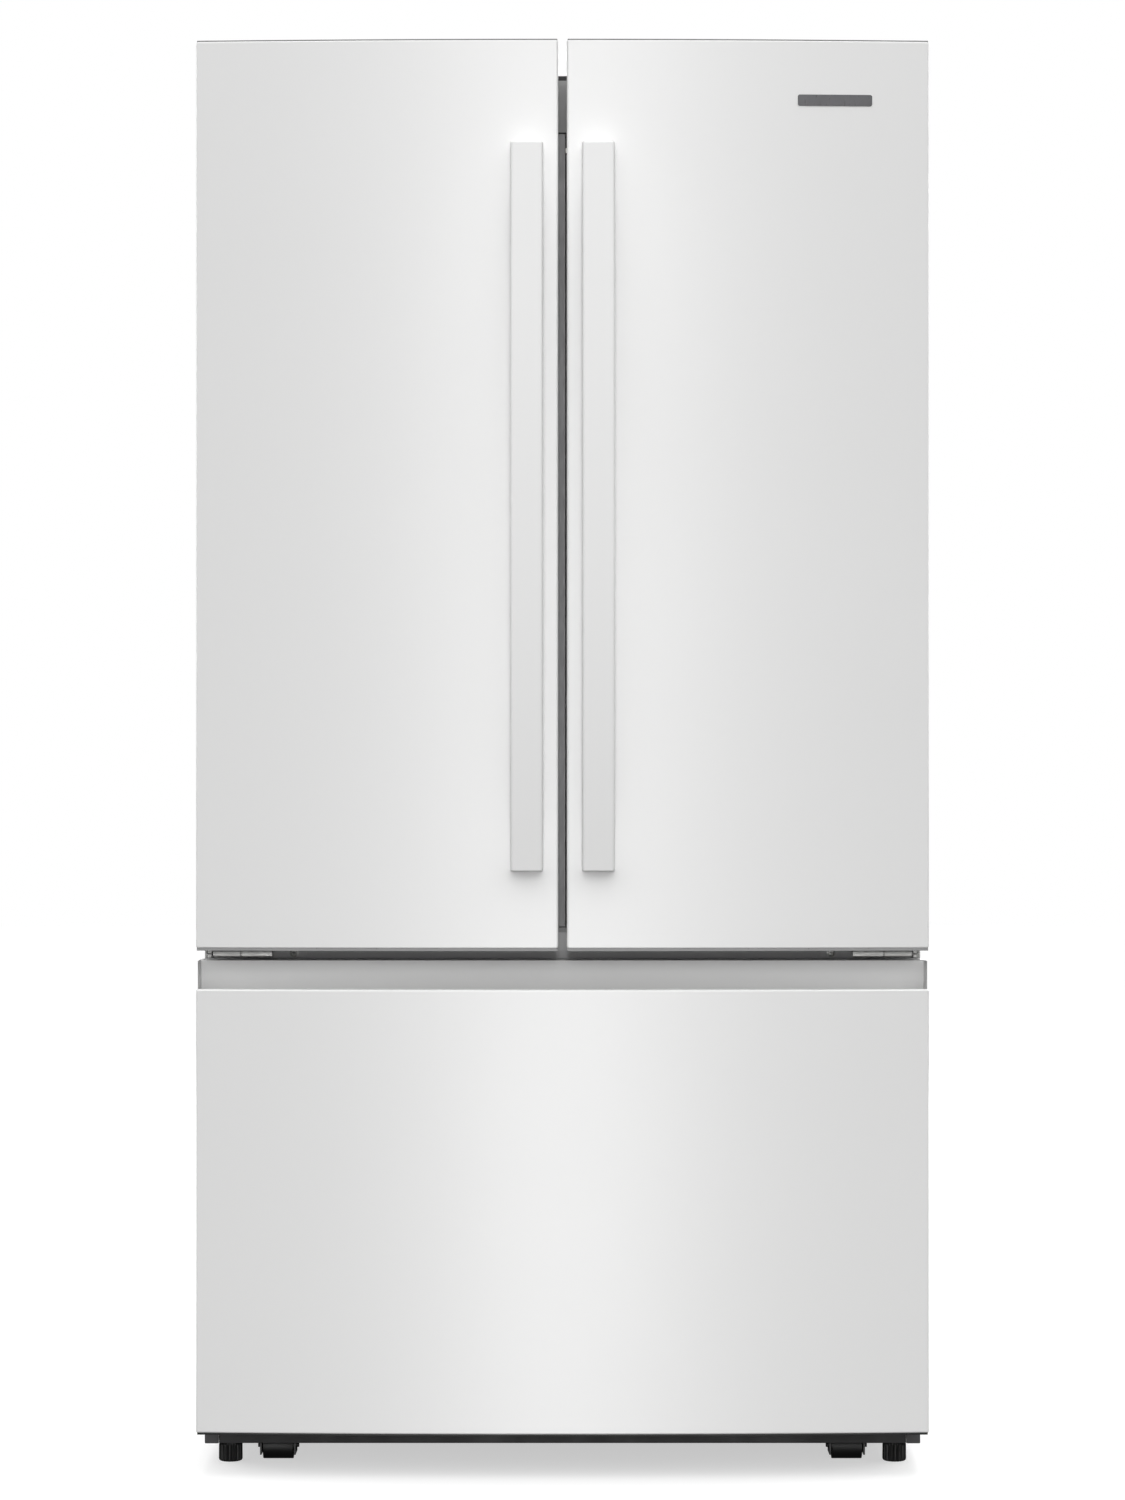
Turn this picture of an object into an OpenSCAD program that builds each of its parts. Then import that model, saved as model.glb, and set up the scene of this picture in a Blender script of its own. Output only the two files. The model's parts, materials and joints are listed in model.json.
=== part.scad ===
// French door refrigerator: two upper doors over one freezer drawer.
// Millimetres. +Z up, the front faces -Y, and the origin is on the floor under the middle of the box.

/* [Overall] */
// Width across both doors
total_w = 905; // [860:1:920]
// Depth from the handles' fronts to the back panel
total_d = 890; // [860:1:920]
// Height of the doors' top edge
door_top = 1774; // [1700:1:1800]
// Height of the doors' bottom edge
door_bottom = 652; // [600:1:700]

/* [Fronts] */
// How far the middle of the front stands ahead of its outer edges
crown = 13; // [6:0.5:20]
// Thickness of a door at its outer edge
door_t = 64; // [55:1:75]
// Gap between the two doors
door_gap = 10.5; // [8:0.5:14]
// Thickness of the steel skins
skin_t = 1; // [0.8:0.1:2]
// Gap behind the doors that the gaskets fill
seal_gap = 16; // [14:0.5:18]

/* [Cabinet] */
// Width of the cabinet
cab_w = 899; // [850:1:915]
// Height of the cabinet's top
cab_top = 1745; // [1680:1:1760]
// Height of the cabinet's lower edge
cab_low = 27; // [20:1:40]
// Insulation thickness at the sides
side_wall = 46; // [38:1:60]
// Thickness of the inner liners
liner_t = 2; // [1.5:0.1:3]

/* [Handles] */
// Width of a handle
handle_w = 40; // [30:1:45]
// Length of a handle
handle_len = 895; // [600:5:960]
// How far a handle's middle stands ahead of the doors
handle_out = 52; // [45:1:60]
// How far a handle's ends stand ahead of the doors
handle_end = 24; // [16:1:30]

/* [Feet and rollers] */
// Diameter of a levelling foot
foot_d = 30; // [24:1:34]
// Diameter of a roller
roller_d = 34; // [28:1:36]

/* [Hidden] */
$fn = 48;
fine = 256;   // facets of the very large arcs
skim = 0.2;   // gap left between neighbouring pieces
sheet = 1.2;  // cabinet steel
half_w = total_w / 2;
half_cab = cab_w / 2;
front_y = -total_d / 2 + handle_out;   // front of the crown
back_y = total_d / 2;
edge_y = front_y + crown;              // front plane at the outer edges
door_back = edge_y + door_t;
cab_front = door_back + seal_gap;
crown_r = (half_w * half_w + crown * crown) / (2 * crown);
half_gap = door_gap / 2;

// Hinge line of the left door
hinge_in = 12.5;                       // in from the door's outer side
hinge_x = -half_w + hinge_in;
hinge_y = door_back - 14;
pin_r = 5;
pin_play = 0.06;

// Feet and rollers; the front rollers hang clear of the floor and the rear pair stands on it
foot_x = 419.7;
foot_y = cab_front + 32;
stud_r = 4;
roller_x = 359.5;
axle_r = 3;
function roller_y(end) = end < 0 ? cab_front + 38 : back_y - 60;
function roller_height(end) = roller_d / 2 + (end < 0 ? 1 : 0);

// Insides of the two compartments
cav_x = half_cab - side_wall;
cav_back = back_y - 60;
fridge_low = 674;
fridge_top = cab_top - 55;
freezer_low = 95;
freezer_top = 614;
step_y = 215;                          // the freezer's back wall over the compressor
step_z = 325;
flange_w = 18;                         // width of the wrapper's front return
flange_t = 1.4;
flange_x = half_cab - flange_w;
floor_z = 62;                          // underside of the insulation
machine_y = 257;
machine_top = 283;

// Freezer drawer
drawer_low = 53;
lip_z = 602.5;                         // top of the front panel
drawer_top = 637;
pocket_y = edge_y + 36;                // back wall of the finger pocket
rail_z = 200;
rail_h = 44;
rail_y = cab_front + 10;
rail_len = 440;
slide_t = 4;                           // thickness of one slide member
slide_x = [skim, 4.6, 9];              // the three members, in from the wall

// Seals, and the raised border inside a door with the bins that hang in it
seal_w = 16;
seal_out = 437;                        // outer edge of every seal
dike_x = [76, 396];                    // from the middle of the cabinet
dike_z = [690, 1664];
dike_y = door_back + 44;
dike_w = 12;
bin_x = [dike_x[0] + dike_w + 0.5, dike_x[1] - dike_w - 0.5];
bin_y = [door_back + 1, door_back + 111];
bin_z = [[704, 822], [1040, 1130], [1360, 1450]];

// The folding bar behind the gap, and the pivot it folds about
bar_x = [-44, 4];
bar_y = [cab_front + 1.5, cab_front + 20];
bar_z = [682, 1673];
pivot = [-41, door_back + 4];
knuckle_z = [760, 1160, 1560];
knuckle_h = 30;
pivot_r = 1.6;

// Shelves and drawers of the fresh food compartment
shelf_y = [-175, 352];
shelf_half = [7, 398];
shelf_levels = [[-1, 1240], [-1, 1465], [1, 1190], [1, 1430]];   // side and height
cover_z = 950;
crisper_z = [678, 936];
crisper_y = [-172, 300];

// Machine bay at the back
bay_floor = 47;
fan_at = [-78, 354, 156];
shaft_r = 3;

// ---- Shapes used by many parts ----

// A box given by its limits
module block(x, y, z) {
    translate([x[0], y[0], z[0]]) cube([x[1] - x[0], y[1] - y[0], z[1] - z[0]]);
}

// A box with rounded vertical edges
module soft_block(x, y, z, r) {
    block([x[0] + r, x[1] - r], y, z);
    block(x, [y[0] + r, y[1] - r], z);
    for (cx = [x[0] + r, x[1] - r])
        for (cy = [y[0] + r, y[1] - r])
            translate([cx, cy, z[0]]) cylinder(r = r, h = z[1] - z[0]);
}

// An open-topped box with walls t thick
module tub(x, y, z, t, r) {
    difference() {
        soft_block(x, y, z, r);
        soft_block([x[0] + t, x[1] - t], [y[0] + t, y[1] - t], [z[0] + t, z[1] + 1], max(r - t, 0.5));
    }
}

// A rectangular frame seen from the front: limits x, y, z and bar width w
module front_ring(x, y, z, w) {
    difference() {
        block(x, y, z);
        block([x[0] + w, x[1] - w], [y[0] - 1, y[1] + 1], [z[0] + w, z[1] - w]);
    }
}

// What lies behind the crowned front surface, inset by d
module behind_crown(x, y_end, z, d) {
    intersection() {
        block(x, [front_y - 1, y_end], z);
        translate([0, front_y + crown_r, z[0]]) cylinder(r = crown_r - d, h = z[1] - z[0], $fn = fine);
    }
}

// Right-hand copies are mirrored left-hand parts
module on_side(s) {
    mirror([s > 0 ? 1 : 0, 0, 0]) children();
}

// A rod along X
module rod_x(p, r, len) {
    translate(p) rotate([0, 90, 0]) cylinder(r = r, h = len);
}

// A rod along Y
module rod_y(p, r, len) {
    translate(p) rotate([-90, 0, 0]) cylinder(r = r, h = len);
}

// ---- Cabinet ----

module cabinet_wrapper() {
    color("gainsboro") difference() {
        block([-half_cab, half_cab], [cab_front, back_y - sheet], [cab_low, cab_top]);
        block([-half_cab + sheet, half_cab - sheet], [cab_front + sheet, back_y], [0, cab_top - sheet]);
        block([-flange_x, flange_x], [cab_front - 1, cab_front + 2 * sheet], [0, cab_top - flange_w]);
    }
}

module back_panel() {
    color("silver")
        block([-half_cab, half_cab], [back_y - sheet + skim / 4, back_y], [machine_top + 2, cab_top]);
}

// The insulation fills everything between the wrapper and the two liners
module insulation_foam() {
    clear = liner_t + skim;
    color("khaki") difference() {
        block([-half_cab + sheet + skim, half_cab - sheet - skim],
              [cab_front + flange_t + skim, back_y - sheet - skim], [floor_z, cab_top - sheet - skim]);
        block([-cav_x - clear, cav_x + clear], [cab_front, cav_back + clear],
              [fridge_low - clear, fridge_top + clear]);
        block([-cav_x - clear, cav_x + clear], [cab_front, step_y + clear],
              [freezer_low - clear, freezer_top + clear]);
        block([-cav_x - clear, cav_x + clear], [cab_front, cav_back + clear],
              [step_z - clear, freezer_top + clear]);
        block([-half_cab, half_cab], [machine_y, back_y], [floor_z - 1, machine_top]);
    }
}

module fridge_liner() {
    color("white") difference() {
        union() {
            block([-cav_x - liner_t, cav_x + liner_t], [cab_front, cav_back + liner_t],
                  [fridge_low - liner_t, fridge_top + liner_t]);
            block([-flange_x + skim, flange_x - skim], [cab_front, cab_front + flange_t],
                  [fridge_low - liner_t, cab_top - flange_w - skim]);
        }
        block([-cav_x, cav_x], [cab_front - 1, cav_back], [fridge_low, fridge_top]);
    }
    // Ledges for the crisper cover and runners under the crispers
    color("white") for (s = [-1, 1])
        on_side(s) {
            block([-cav_x - 1, -cav_x + 5.5], [-170, 330], [cover_z - 10, cover_z - skim]);
            for (x = [-cav_x - 1, -110])
                block([x, x + 22], [-160, 300], [fridge_low - 1, crisper_z[0] - skim]);
        }
}

module freezer_liner() {
    color("white") difference() {
        union() {
            block([-cav_x - liner_t, cav_x + liner_t], [cab_front, step_y + liner_t],
                  [freezer_low - liner_t, freezer_top + liner_t]);
            block([-cav_x - liner_t, cav_x + liner_t], [cab_front, cav_back + liner_t],
                  [step_z - liner_t, freezer_top + liner_t]);
            block([-flange_x + skim, flange_x - skim], [cab_front, cab_front + flange_t],
                  [floor_z, freezer_top + liner_t]);
        }
        block([-cav_x, cav_x], [cab_front - 1, step_y], [freezer_low, freezer_top]);
        block([-cav_x, cav_x], [cab_front - 1, cav_back], [step_z, freezer_top]);
    }
}

// Steel bar across the front between the compartments
module center_crossbar() {
    low = freezer_top + liner_t + skim;
    high = fridge_low - liner_t - skim;
    color("dimgray")
        block([-flange_x + skim, flange_x - skim], [cab_front, cab_front + sheet], [low, high]);
}

// Ceiling block whose slot turns the folding mullion
module mullion_guide() {
    low = bar_z[1] + 2.5;
    color("silver") difference() {
        soft_block([-64, 24], [cab_front + 3, cab_front + 62], [low, fridge_top - skim], 6);
        block([-48, -38], [cab_front + 6, cab_front + 40], [low - 1, low + 8]);
    }
}

// Channels under the cabinet, with the roller cheeks and the compressor shelf
module base_frame() {
    color("dimgray") difference() {
        union() {
            block([-446, 446], [cab_front + 4, machine_y - 2], [56, floor_z - skim]);
            block([-446, 446], [cab_front + 4, cab_front + 54], [40, 57]);
            block([-446, 446], [machine_y + 2, back_y - 4], [bay_floor - 3, bay_floor - skim]);
            for (s = [-1, 1]) {
                block([s * 424 - 22, s * 424 + 22], [cab_front + 4, back_y - 4], [cab_low, 57]);
                for (edge = [-22.5, 20.5])
                    for (end = [-1, 1])
                        block([s * roller_x + edge, s * roller_x + edge + 2],
                              [roller_y(end) - 16, roller_y(end) + 16], [8, bay_floor - 2]);
            }
        }
        for (s = [-1, 1]) {
            translate([s * foot_x, foot_y, 0]) cylinder(r = stud_r + pin_play, h = 60);
            for (end = [-1, 1])
                rod_x([s * roller_x - 30, roller_y(end), roller_height(end)], axle_r + pin_play, 60);
        }
    }
}

module base_grille() {
    color("dimgray")
        block([-flange_x + skim, flange_x - skim], [cab_front, cab_front + 3], [cab_low, floor_z - skim]);
}

// Slotted sheet that closes the compressor bay
module machine_cover() {
    color("silver") difference() {
        block([-444, 444], [back_y - sheet + skim / 4, back_y], [50, machine_top]);
        for (i = [0:11])
            for (z = [90, 170])
                block([-396 + i * 68, -352 + i * 68], [back_y - 3, back_y + 1], [z, z + 50]);
    }
}

// ---- Feet and rollers ----

module foot() {
    ribs = 20;
    color("black") difference() {
        union() {
            translate([-foot_x, foot_y, 0]) cylinder(r = foot_d / 2, h = 17);
            translate([-foot_x, foot_y, 17]) cylinder(r = foot_d / 2 - 3, h = 4);
            translate([-foot_x, foot_y, 21]) cylinder(r = stud_r, h = 33);
        }
        for (i = [0:ribs - 1])
            translate([-foot_x, foot_y, 3])
                rotate([0, 0, i * 360 / ribs])
                    translate([foot_d / 2 + 0.6, 0, 0])
                        cylinder(r = 1.6, h = 15);
    }
}

module roller(end) {
    color("black") difference() {
        union() {
            rod_x([-roller_x - 19, roller_y(end), roller_height(end)], roller_d / 2, 38);
            rod_x([-roller_x - 20.3, roller_y(end), roller_height(end)], 6, 40.6);
        }
        for (x = [-roller_x - 21, -roller_x + 16])
            difference() {
                rod_x([x, roller_y(end), roller_height(end)], roller_d / 2 - 4, 5);
                rod_x([x - 1, roller_y(end), roller_height(end)], 6, 7);
            }
    }
    color("silver") rod_x([-roller_x - 26, roller_y(end), roller_height(end)], axle_r, 52);
}

// ---- Compressor bay and evaporator ----

module compressor() {
    r = 76;
    shell_low = bay_floor + 46;
    dome_z = shell_low + 78;
    color("black") translate([-250, 350, 0]) {
        translate([0, 0, shell_low]) cylinder(r = r, h = dome_z - shell_low);
        intersection() {
            translate([0, 0, dome_z - 1]) sphere(r = r);
            translate([0, 0, dome_z - 1]) cylinder(r = r, h = 58);
        }
        translate([0, 0, bay_floor + 26]) cylinder(r = r - 18, h = 21);
        block([-84, 84], [-72, 72], [bay_floor + 22, bay_floor + 27]);
        for (x = [-70, 70])
            for (y = [-60, 60])
                translate([x, y, bay_floor]) cylinder(r = 11, h = 23);
    }
}

// Tube rows between two end plates
module coil(x, y, z, rows, cols, r) {
    for (px = [x[0], x[1] - 2])
        block([px, px + 2], y, z);
    for (i = [0:rows - 1])
        for (j = [0:cols - 1])
            rod_x([x[0] - 3, y[0] + (j + 0.5) * (y[1] - y[0]) / cols,
                   z[0] + (i + 0.5) * (z[1] - z[0]) / rows], r, x[1] - x[0] + 6);
    block([x[0] + 20, x[0] + 22], y, z);
    block([x[1] - 22, x[1] - 20], y, z);
}

module condenser_coil() {
    color("black") coil([30, 380], [284, 424], [bay_floor + 4, 246], 7, 5, 3);
}

// Five blades on a hub, drawing air through the condenser
module condenser_fan() {
    color("white") translate(fan_at) rotate([0, 90, 0]) difference() {
        union() {
            cylinder(r = 20, h = 26);
            for (i = [0:4])
                rotate([0, 0, i * 72])
                    translate([16, -14, 6])
                        rotate([24, 0, 0])
                            cube([52, 30, 2.4]);
        }
        translate([0, 0, -10]) cylinder(r = shaft_r + pin_play, h = 60);
    }
}

module fan_motor() {
    stand_y = [fan_at[1] - 20, fan_at[1] + 20];
    color("dimgray") {
        rod_x(fan_at - [38, 0, 0], 22, 34);
        rod_x(fan_at - [10, 0, 0], shaft_r, 34);
        block([fan_at[0] - 34, fan_at[0] - 30], stand_y, [bay_floor, fan_at[2]]);
        block([fan_at[0] - 44, fan_at[0] - 20], stand_y, [bay_floor, bay_floor + 3]);
    }
}

module drain_pan() {
    color("dimgray") tub([24, 386], [276, 432], [bay_floor, bay_floor + 28], 2, 10);
}

module evaporator_coil() {
    color("silver") coil([-300, 300], [342, 380], [step_z + 1, 540], 8, 2, 4);
}

module evaporator_cover() {
    color("white") difference() {
        block([-cav_x + 1, cav_x - 1], [330, 333], [step_z + 1, freezer_top - 1]);
        for (i = [0:9])
            for (z = [350, 575])
                block([-290 + i * 60, -250 + i * 60], [329, 334], [z, z + 10]);
    }
}

// ---- Fresh food compartment ----

module air_tower() {
    color("white") difference() {
        soft_block([-64, 64], [362, cav_back - skim], [975, 1660], 8);
        for (i = [0:8])
            for (x = [-46, 16])
                block([x, x + 30], [360, 368], [1010 + i * 72, 1018 + i * 72]);
    }
}

// Ceiling control panel with its lamp window
module control_panel() {
    color("whitesmoke") difference() {
        soft_block([-150, 150], [-228, -110], [fridge_top - 14, fridge_top - skim], 12);
        block([-120, 120], [-165, -125], [fridge_top - 15, fridge_top - 11]);
    }
}

// Slotted uprights that the shelf hooks hang in
module shelf_tracks() {
    color("silver") for (x = [-386, -84, 84, 386])
        difference() {
            block([x - 6, x + 6], [cav_back - 5, cav_back - skim], [985, 1660]);
            for (z = [1000:24:1640])
                block([x - 1.5, x + 1.5], [cav_back - 6, cav_back - 2], [z, z + 12]);
        }
}

// A rim that holds a glass pane, limits x and y, underside at z
module shelf_rim(x, y, z) {
    difference() {
        soft_block(x, y, [z, z + 20], 6);
        block([x[0] + 12, x[1] - 12], [y[0] + 16, y[1] - 12], [z - 1, z + 21]);
        block([x[0] + 6, x[1] - 6], [y[0] + 8, y[1] - 6], [z + 14, z + 21]);
    }
}

// A cantilever bracket under a shelf whose underside is at z
module shelf_arm(x, z) {
    back = cav_back - 5 - skim * 2;
    translate([x, 0, z])
        rotate([90, 0, 90])
            linear_extrude(3)
                polygon([[shelf_y[1] - 130, -5], [back, -28], [back, 2], [shelf_y[1] - 130, 2]]);
}

module shelf_frames() {
    color("white") {
        for (level = shelf_levels)
            on_side(level[0]) {
                shelf_rim([-shelf_half[1], -shelf_half[0]], shelf_y, level[1]);
                for (x = [-388, -86])
                    shelf_arm(x, level[1]);
            }
        shelf_rim([-shelf_half[1] - 4, shelf_half[1] + 4], [shelf_y[0], 340], cover_z);
        block([-5, 5], [-160, 330], [fridge_low + skim, cover_z + 13]);
    }
}

module shelf_glass() {
    g = 6.4;
    color([0.75, 0.9, 0.85, 0.5]) {
        for (level = shelf_levels)
            on_side(level[0])
                block([-shelf_half[1] + g, -shelf_half[0] - g], [shelf_y[0] + 8.4, shelf_y[1] - g],
                      [level[1] + 14.2, level[1] + 18.2]);
        block([-shelf_half[1] - 4 + g, shelf_half[1] + 4 - g], [shelf_y[0] + 8.4, 340 - g],
              [cover_z + 14.2, cover_z + 18.2]);
    }
}

module crisper() {
    color([0.9, 0.95, 0.97]) {
        tub([-396, -8], crisper_y, crisper_z, 3, 14);
        block([-330, -74], [crisper_y[0] - 10, crisper_y[0] + 1], [crisper_z[1] - 34, crisper_z[1] - 14]);
    }
}

// ---- Hinges ----

module top_hinges() {
    arm_z = [door_top + 2, door_top + 5];
    riser_y = cab_front + 9;
    color("gray") for (s = [-1, 1]) on_side(s) {
        block([-446, -372], [riser_y, riser_y + 90], [cab_top + skim, cab_top + 3]);
        block([-446, -385], [riser_y, riser_y + 3], [cab_top + skim, arm_z[1]]);
        block([-446, -396], [hinge_y, riser_y + 3], arm_z);
        translate([hinge_x, hinge_y, arm_z[0]]) cylinder(r = 11, h = 3);
        translate([hinge_x, hinge_y, door_top - 20]) cylinder(r = pin_r, h = 24);
    }
}

module hinge_covers() {
    top_z = door_top + 7;
    lid_z = door_top + 5 + skim;
    front = cab_front + 6.5;
    color("white") for (s = [-1, 1]) on_side(s) difference() {
        union() {
            soft_block([-449, -366], [front, cab_front + 108], [cab_top + skim, top_z], 6);
            soft_block([-449.5, -392], [hinge_y - 14, front + 12], [lid_z, top_z], 6);
        }
        block([-447, -368], [front + 2, cab_front + 106], [cab_top - 1, lid_z]);
        block([-450, -384], [front - 1, front + 3], [door_top + 1, lid_z]);
    }
}

module center_hinges() {
    top_z = door_bottom - 2.8;
    low_z = drawer_top + 3.6;
    color("gray") for (s = [-1, 1]) on_side(s) {
        block([-435, -361], [hinge_y - 16, cab_front - 1], [top_z - 3, top_z]);
        block([-435, -361], [hinge_y - 16, hinge_y - 13.5], [low_z, top_z]);
        block([-446, -322], [cab_front - 3.2, cab_front - skim], [drawer_top + 1, top_z + 2]);
        translate([hinge_x, hinge_y, low_z - 2]) cylinder(r = 5.4, h = top_z + 2 - low_z + 2);
        translate([hinge_x, hinge_y, top_z]) cylinder(r = pin_r, h = 20);
    }
}

// Flanged screws that hold the hinges to the cabinet
module hinge_screws() {
    color("silver") for (s = [-1, 1]) {
        rod_y([s * 337, cab_front - 6.4, 643.4], 5.5, 3);
        for (x = [-430, -388])
            for (y = [cab_front + 36, cab_front + 80])
                translate([-s * x, y, cab_top + 3 + skim]) cylinder(r = 6, h = 4);
    }
}

// ---- Doors ----

door_x = [-half_w, -half_gap];
fill_x = [door_x[0] + skin_t + skim / 2, door_x[1] - skin_t - skim / 2];   // between the skin's sides
fill_y = door_back - liner_t - skim / 2;
cap_t = 4;
boss_h = 26;
boss_x = [fill_x[0], hinge_x + 16];
boss_y = hinge_y - 14;

// The folded steel front of a door, open at the back and the two ends
module door_skin() {
    color("white") difference() {
        behind_crown(door_x, door_back, [door_bottom, door_top], 0);
        behind_crown([door_x[0] + skin_t, door_x[1] - skin_t], door_back + 1,
                     [door_bottom - 1, door_top + 1], skin_t);
    }
}

// End caps that close a door and carry the hinge sockets
module door_caps() {
    color("white") difference() {
        union() {
            for (z = [door_bottom, door_top - cap_t])
                behind_crown(fill_x, fill_y, [z, z + cap_t], skin_t + skim / 2);
            for (z = [door_bottom, door_top - boss_h])
                block(boss_x, [boss_y, fill_y], [z, z + boss_h]);
        }
        for (z = [door_bottom - 1, door_top - boss_h + 5])
            translate([hinge_x, hinge_y, z]) cylinder(r = pin_r + pin_play, h = boss_h - 4);
    }
}

// The foam core of a door, cut away round the hinge sockets
module door_foam() {
    gap = skim / 2;
    color("khaki") difference() {
        behind_crown([fill_x[0] + gap, fill_x[1] - gap], fill_y - gap,
                     [door_bottom + cap_t + gap, door_top - cap_t - gap], skin_t + skim);
        for (z = [door_bottom, door_top - boss_h])
            block([boss_x[0] - 1, boss_x[1] + gap], [boss_y - gap, door_back], [z - gap, z + boss_h + gap]);
    }
}

// Inner panel with the raised border that the bins hang in
module door_liner() {
    color("white") {
        block(fill_x, [door_back - liner_t, door_back], [door_bottom, door_top]);
        front_ring([-dike_x[1], -dike_x[0]], [door_back - 0.5, dike_y], dike_z, dike_w);
    }
}

// The left door's panel also has ears that hold the folding bar's pins
module left_door_liner() {
    reach = knuckle_h / 2 + skim;
    ear_h = 8;
    door_liner();
    color("white") for (z = knuckle_z)
        for (low = [z - reach - ear_h, z + reach])
            difference() {
                block([pivot[0] - 4, pivot[0] + 3.5], [door_back - 0.5, pivot[1] + 3.4], [low, low + ear_h]);
                translate([pivot[0], pivot[1], low - 1]) cylinder(r = pivot_r + pin_play, h = ear_h + 2);
            }
}

module door_gasket() {
    color("lightgray") front_ring([-seal_out, -half_gap - 7], [door_back + skim / 2, cab_front - 0.5],
                                  [door_bottom + 5, cab_top - 6], seal_w);
}

// Bowed bar: a crescent between two large arcs
module handle() {
    x0 = -24 - handle_w;
    mid_z = 1196.5;
    base_y = front_y;
    rise = handle_out - handle_end;
    outer_r = (pow(handle_len / 2, 2) + rise * rise) / (2 * rise);
    grip = handle_out - 14;
    grip_half = handle_len / 2 - 50;
    inner_r = (grip_half * grip_half + grip * grip) / (2 * grip);
    color("white") difference() {
        intersection() {
            block([x0, x0 + handle_w], [base_y - handle_out, base_y],
                  [mid_z - handle_len / 2, mid_z + handle_len / 2]);
            translate([x0 - 1, base_y - handle_out + outer_r, mid_z])
                rotate([0, 90, 0])
                    cylinder(r = outer_r, h = handle_w + 2, $fn = fine);
        }
        translate([x0 - 2, base_y - grip + inner_r, mid_z])
            rotate([0, 90, 0])
                cylinder(r = inner_r, h = handle_w + 4, $fn = fine);
    }
}

module door_bins() {
    color([0.92, 0.95, 0.97]) for (z = bin_z)
        tub([-bin_x[1], -bin_x[0]], bin_y, z, 2.5, 8);
}

// Blank plate on the right door's upper outer corner
module badge() {
    plate = [92, 0.9, 14];
    mid_x = 336;
    lean = asin(mid_x / crown_r);
    color("dimgray")
        translate([mid_x, front_y + crown_r - sqrt(crown_r * crown_r - mid_x * mid_x), 1692])
            rotate([0, 0, lean])
                translate([-plate[0] / 2, -plate[1] - skim / 4, 0])
                    cube(plate);
}

// Hollow bar that hides and seals the gap between the doors; it turns on pins in the left door
module flip_mullion() {
    wall = 3;
    knuckle_r = 3;
    pin_reach = 7;
    color("darkgray") {
        difference() {
            block(bar_x, bar_y, bar_z);
            block([bar_x[0] + wall, bar_x[1] - wall], [bar_y[0] + wall, bar_y[1] - wall],
                  [bar_z[0] + wall + 1, bar_z[1] - wall - 1]);
        }
        for (z = knuckle_z)
            translate([pivot[0], pivot[1], z - knuckle_h / 2]) {
                cylinder(r = knuckle_r, h = knuckle_h);
                block([-knuckle_r + skim, knuckle_r - skim], [0, bar_y[0] - pivot[1] + 1], [0, knuckle_h]);
                translate([0, 0, -pin_reach]) cylinder(r = pivot_r, h = knuckle_h + 2 * pin_reach);
            }
    }
}

// ---- Freezer drawer ----

bulge_x = 380;
bulge_z = [112, 590];
bulge_y = door_back + 24;
lip_back = edge_y + 9;                 // the front panel's top return ends here
channel_low = 574;

module drawer_skin() {
    color("white") difference() {
        behind_crown([-half_w, half_w], door_back, [drawer_low, lip_z], 0);
        behind_crown([-half_w + skin_t, half_w - skin_t], door_back + 1,
                     [drawer_low + skin_t, lip_z - skin_t], skin_t);
        block([-half_w + skin_t, half_w - skin_t], [lip_back, door_back + 1], [lip_z - 2, lip_z + 1]);
    }
}

// Outline of the finger channel: up its front wall, round its floor and up the scooped back
function channel_outline() =
    let(front = lip_back + 2.7, floor = channel_low + 10, r = 9, lean = 5, rise = drawer_top + 1 - floor - r)
    concat(
        [[front, drawer_top + 1], [front, floor]],
        [for (a = [-90:15:0]) [pocket_y - r + r * cos(a), floor + r + r * sin(a)]],
        [for (t = [0:0.125:1]) [pocket_y - lean * t * t, floor + r + rise * t]]
    );

// The finger pocket along the drawer's top: a channel behind the lip
module drawer_pocket() {
    x = half_w - skin_t - skim;
    color("gainsboro") difference() {
        block([-x, x], [lip_back + skim, fill_y - skim / 2], [channel_low, drawer_top]);
        translate([-half_w, 0, 0])
            rotate([90, 0, 90])
                linear_extrude(total_w)
                    polygon(channel_outline());
        block([-half_w, half_w], [lip_back - 1, lip_back + 3], [lip_z - skim, drawer_top + 1]);
    }
}

module drawer_foam() {
    gap = skim / 2;
    x = [-half_w + skin_t + skim, half_w - skin_t - skim];
    low = drawer_low + skin_t + skim;
    color("khaki") {
        behind_crown(x, lip_back, [low, lip_z - skin_t - skim], skin_t + skim);
        behind_crown(x, fill_y - gap, [low, channel_low - skim], skin_t + skim);
        block([-bulge_x + liner_t + gap, bulge_x - liner_t - gap],
              [fill_y - gap - 1, bulge_y - liner_t - gap],
              [bulge_z[0] + liner_t + gap, channel_low - skim]);
    }
}

// Inner panel, pressed out where it reaches into the compartment
module drawer_liner() {
    color("white") difference() {
        union() {
            block([-half_w + skin_t + skim / 2, half_w - skin_t - skim / 2], [door_back - liner_t, door_back],
                  [drawer_low + skin_t + skim / 2, drawer_top]);
            block([-bulge_x, bulge_x], [door_back - 0.5, bulge_y], bulge_z);
        }
        block([-bulge_x + liner_t, bulge_x - liner_t], [door_back - liner_t - 1, bulge_y - liner_t],
              [bulge_z[0] + liner_t, bulge_z[1] - liner_t]);
    }
}

module drawer_gasket() {
    color("lightgray") front_ring([-seal_out, seal_out], [door_back + skim / 2, cab_front - 0.5],
                                  [66, 631], seal_w);
}

// One member of a telescoping slide, x_in from the cabinet's wall
module slide_member(x_in) {
    x = -cav_x + x_in;
    lip = 6;
    for (s = [-1, 1])
        on_side(s) difference() {
            block([x, x + slide_t], [rail_y, rail_y + rail_len], [rail_z, rail_z + rail_h]);
            block([x - 1, x + slide_t - sheet], [rail_y - 1, rail_y + rail_len + 1],
                  [rail_z + lip, rail_z + rail_h - lip]);
        }
}

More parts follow.
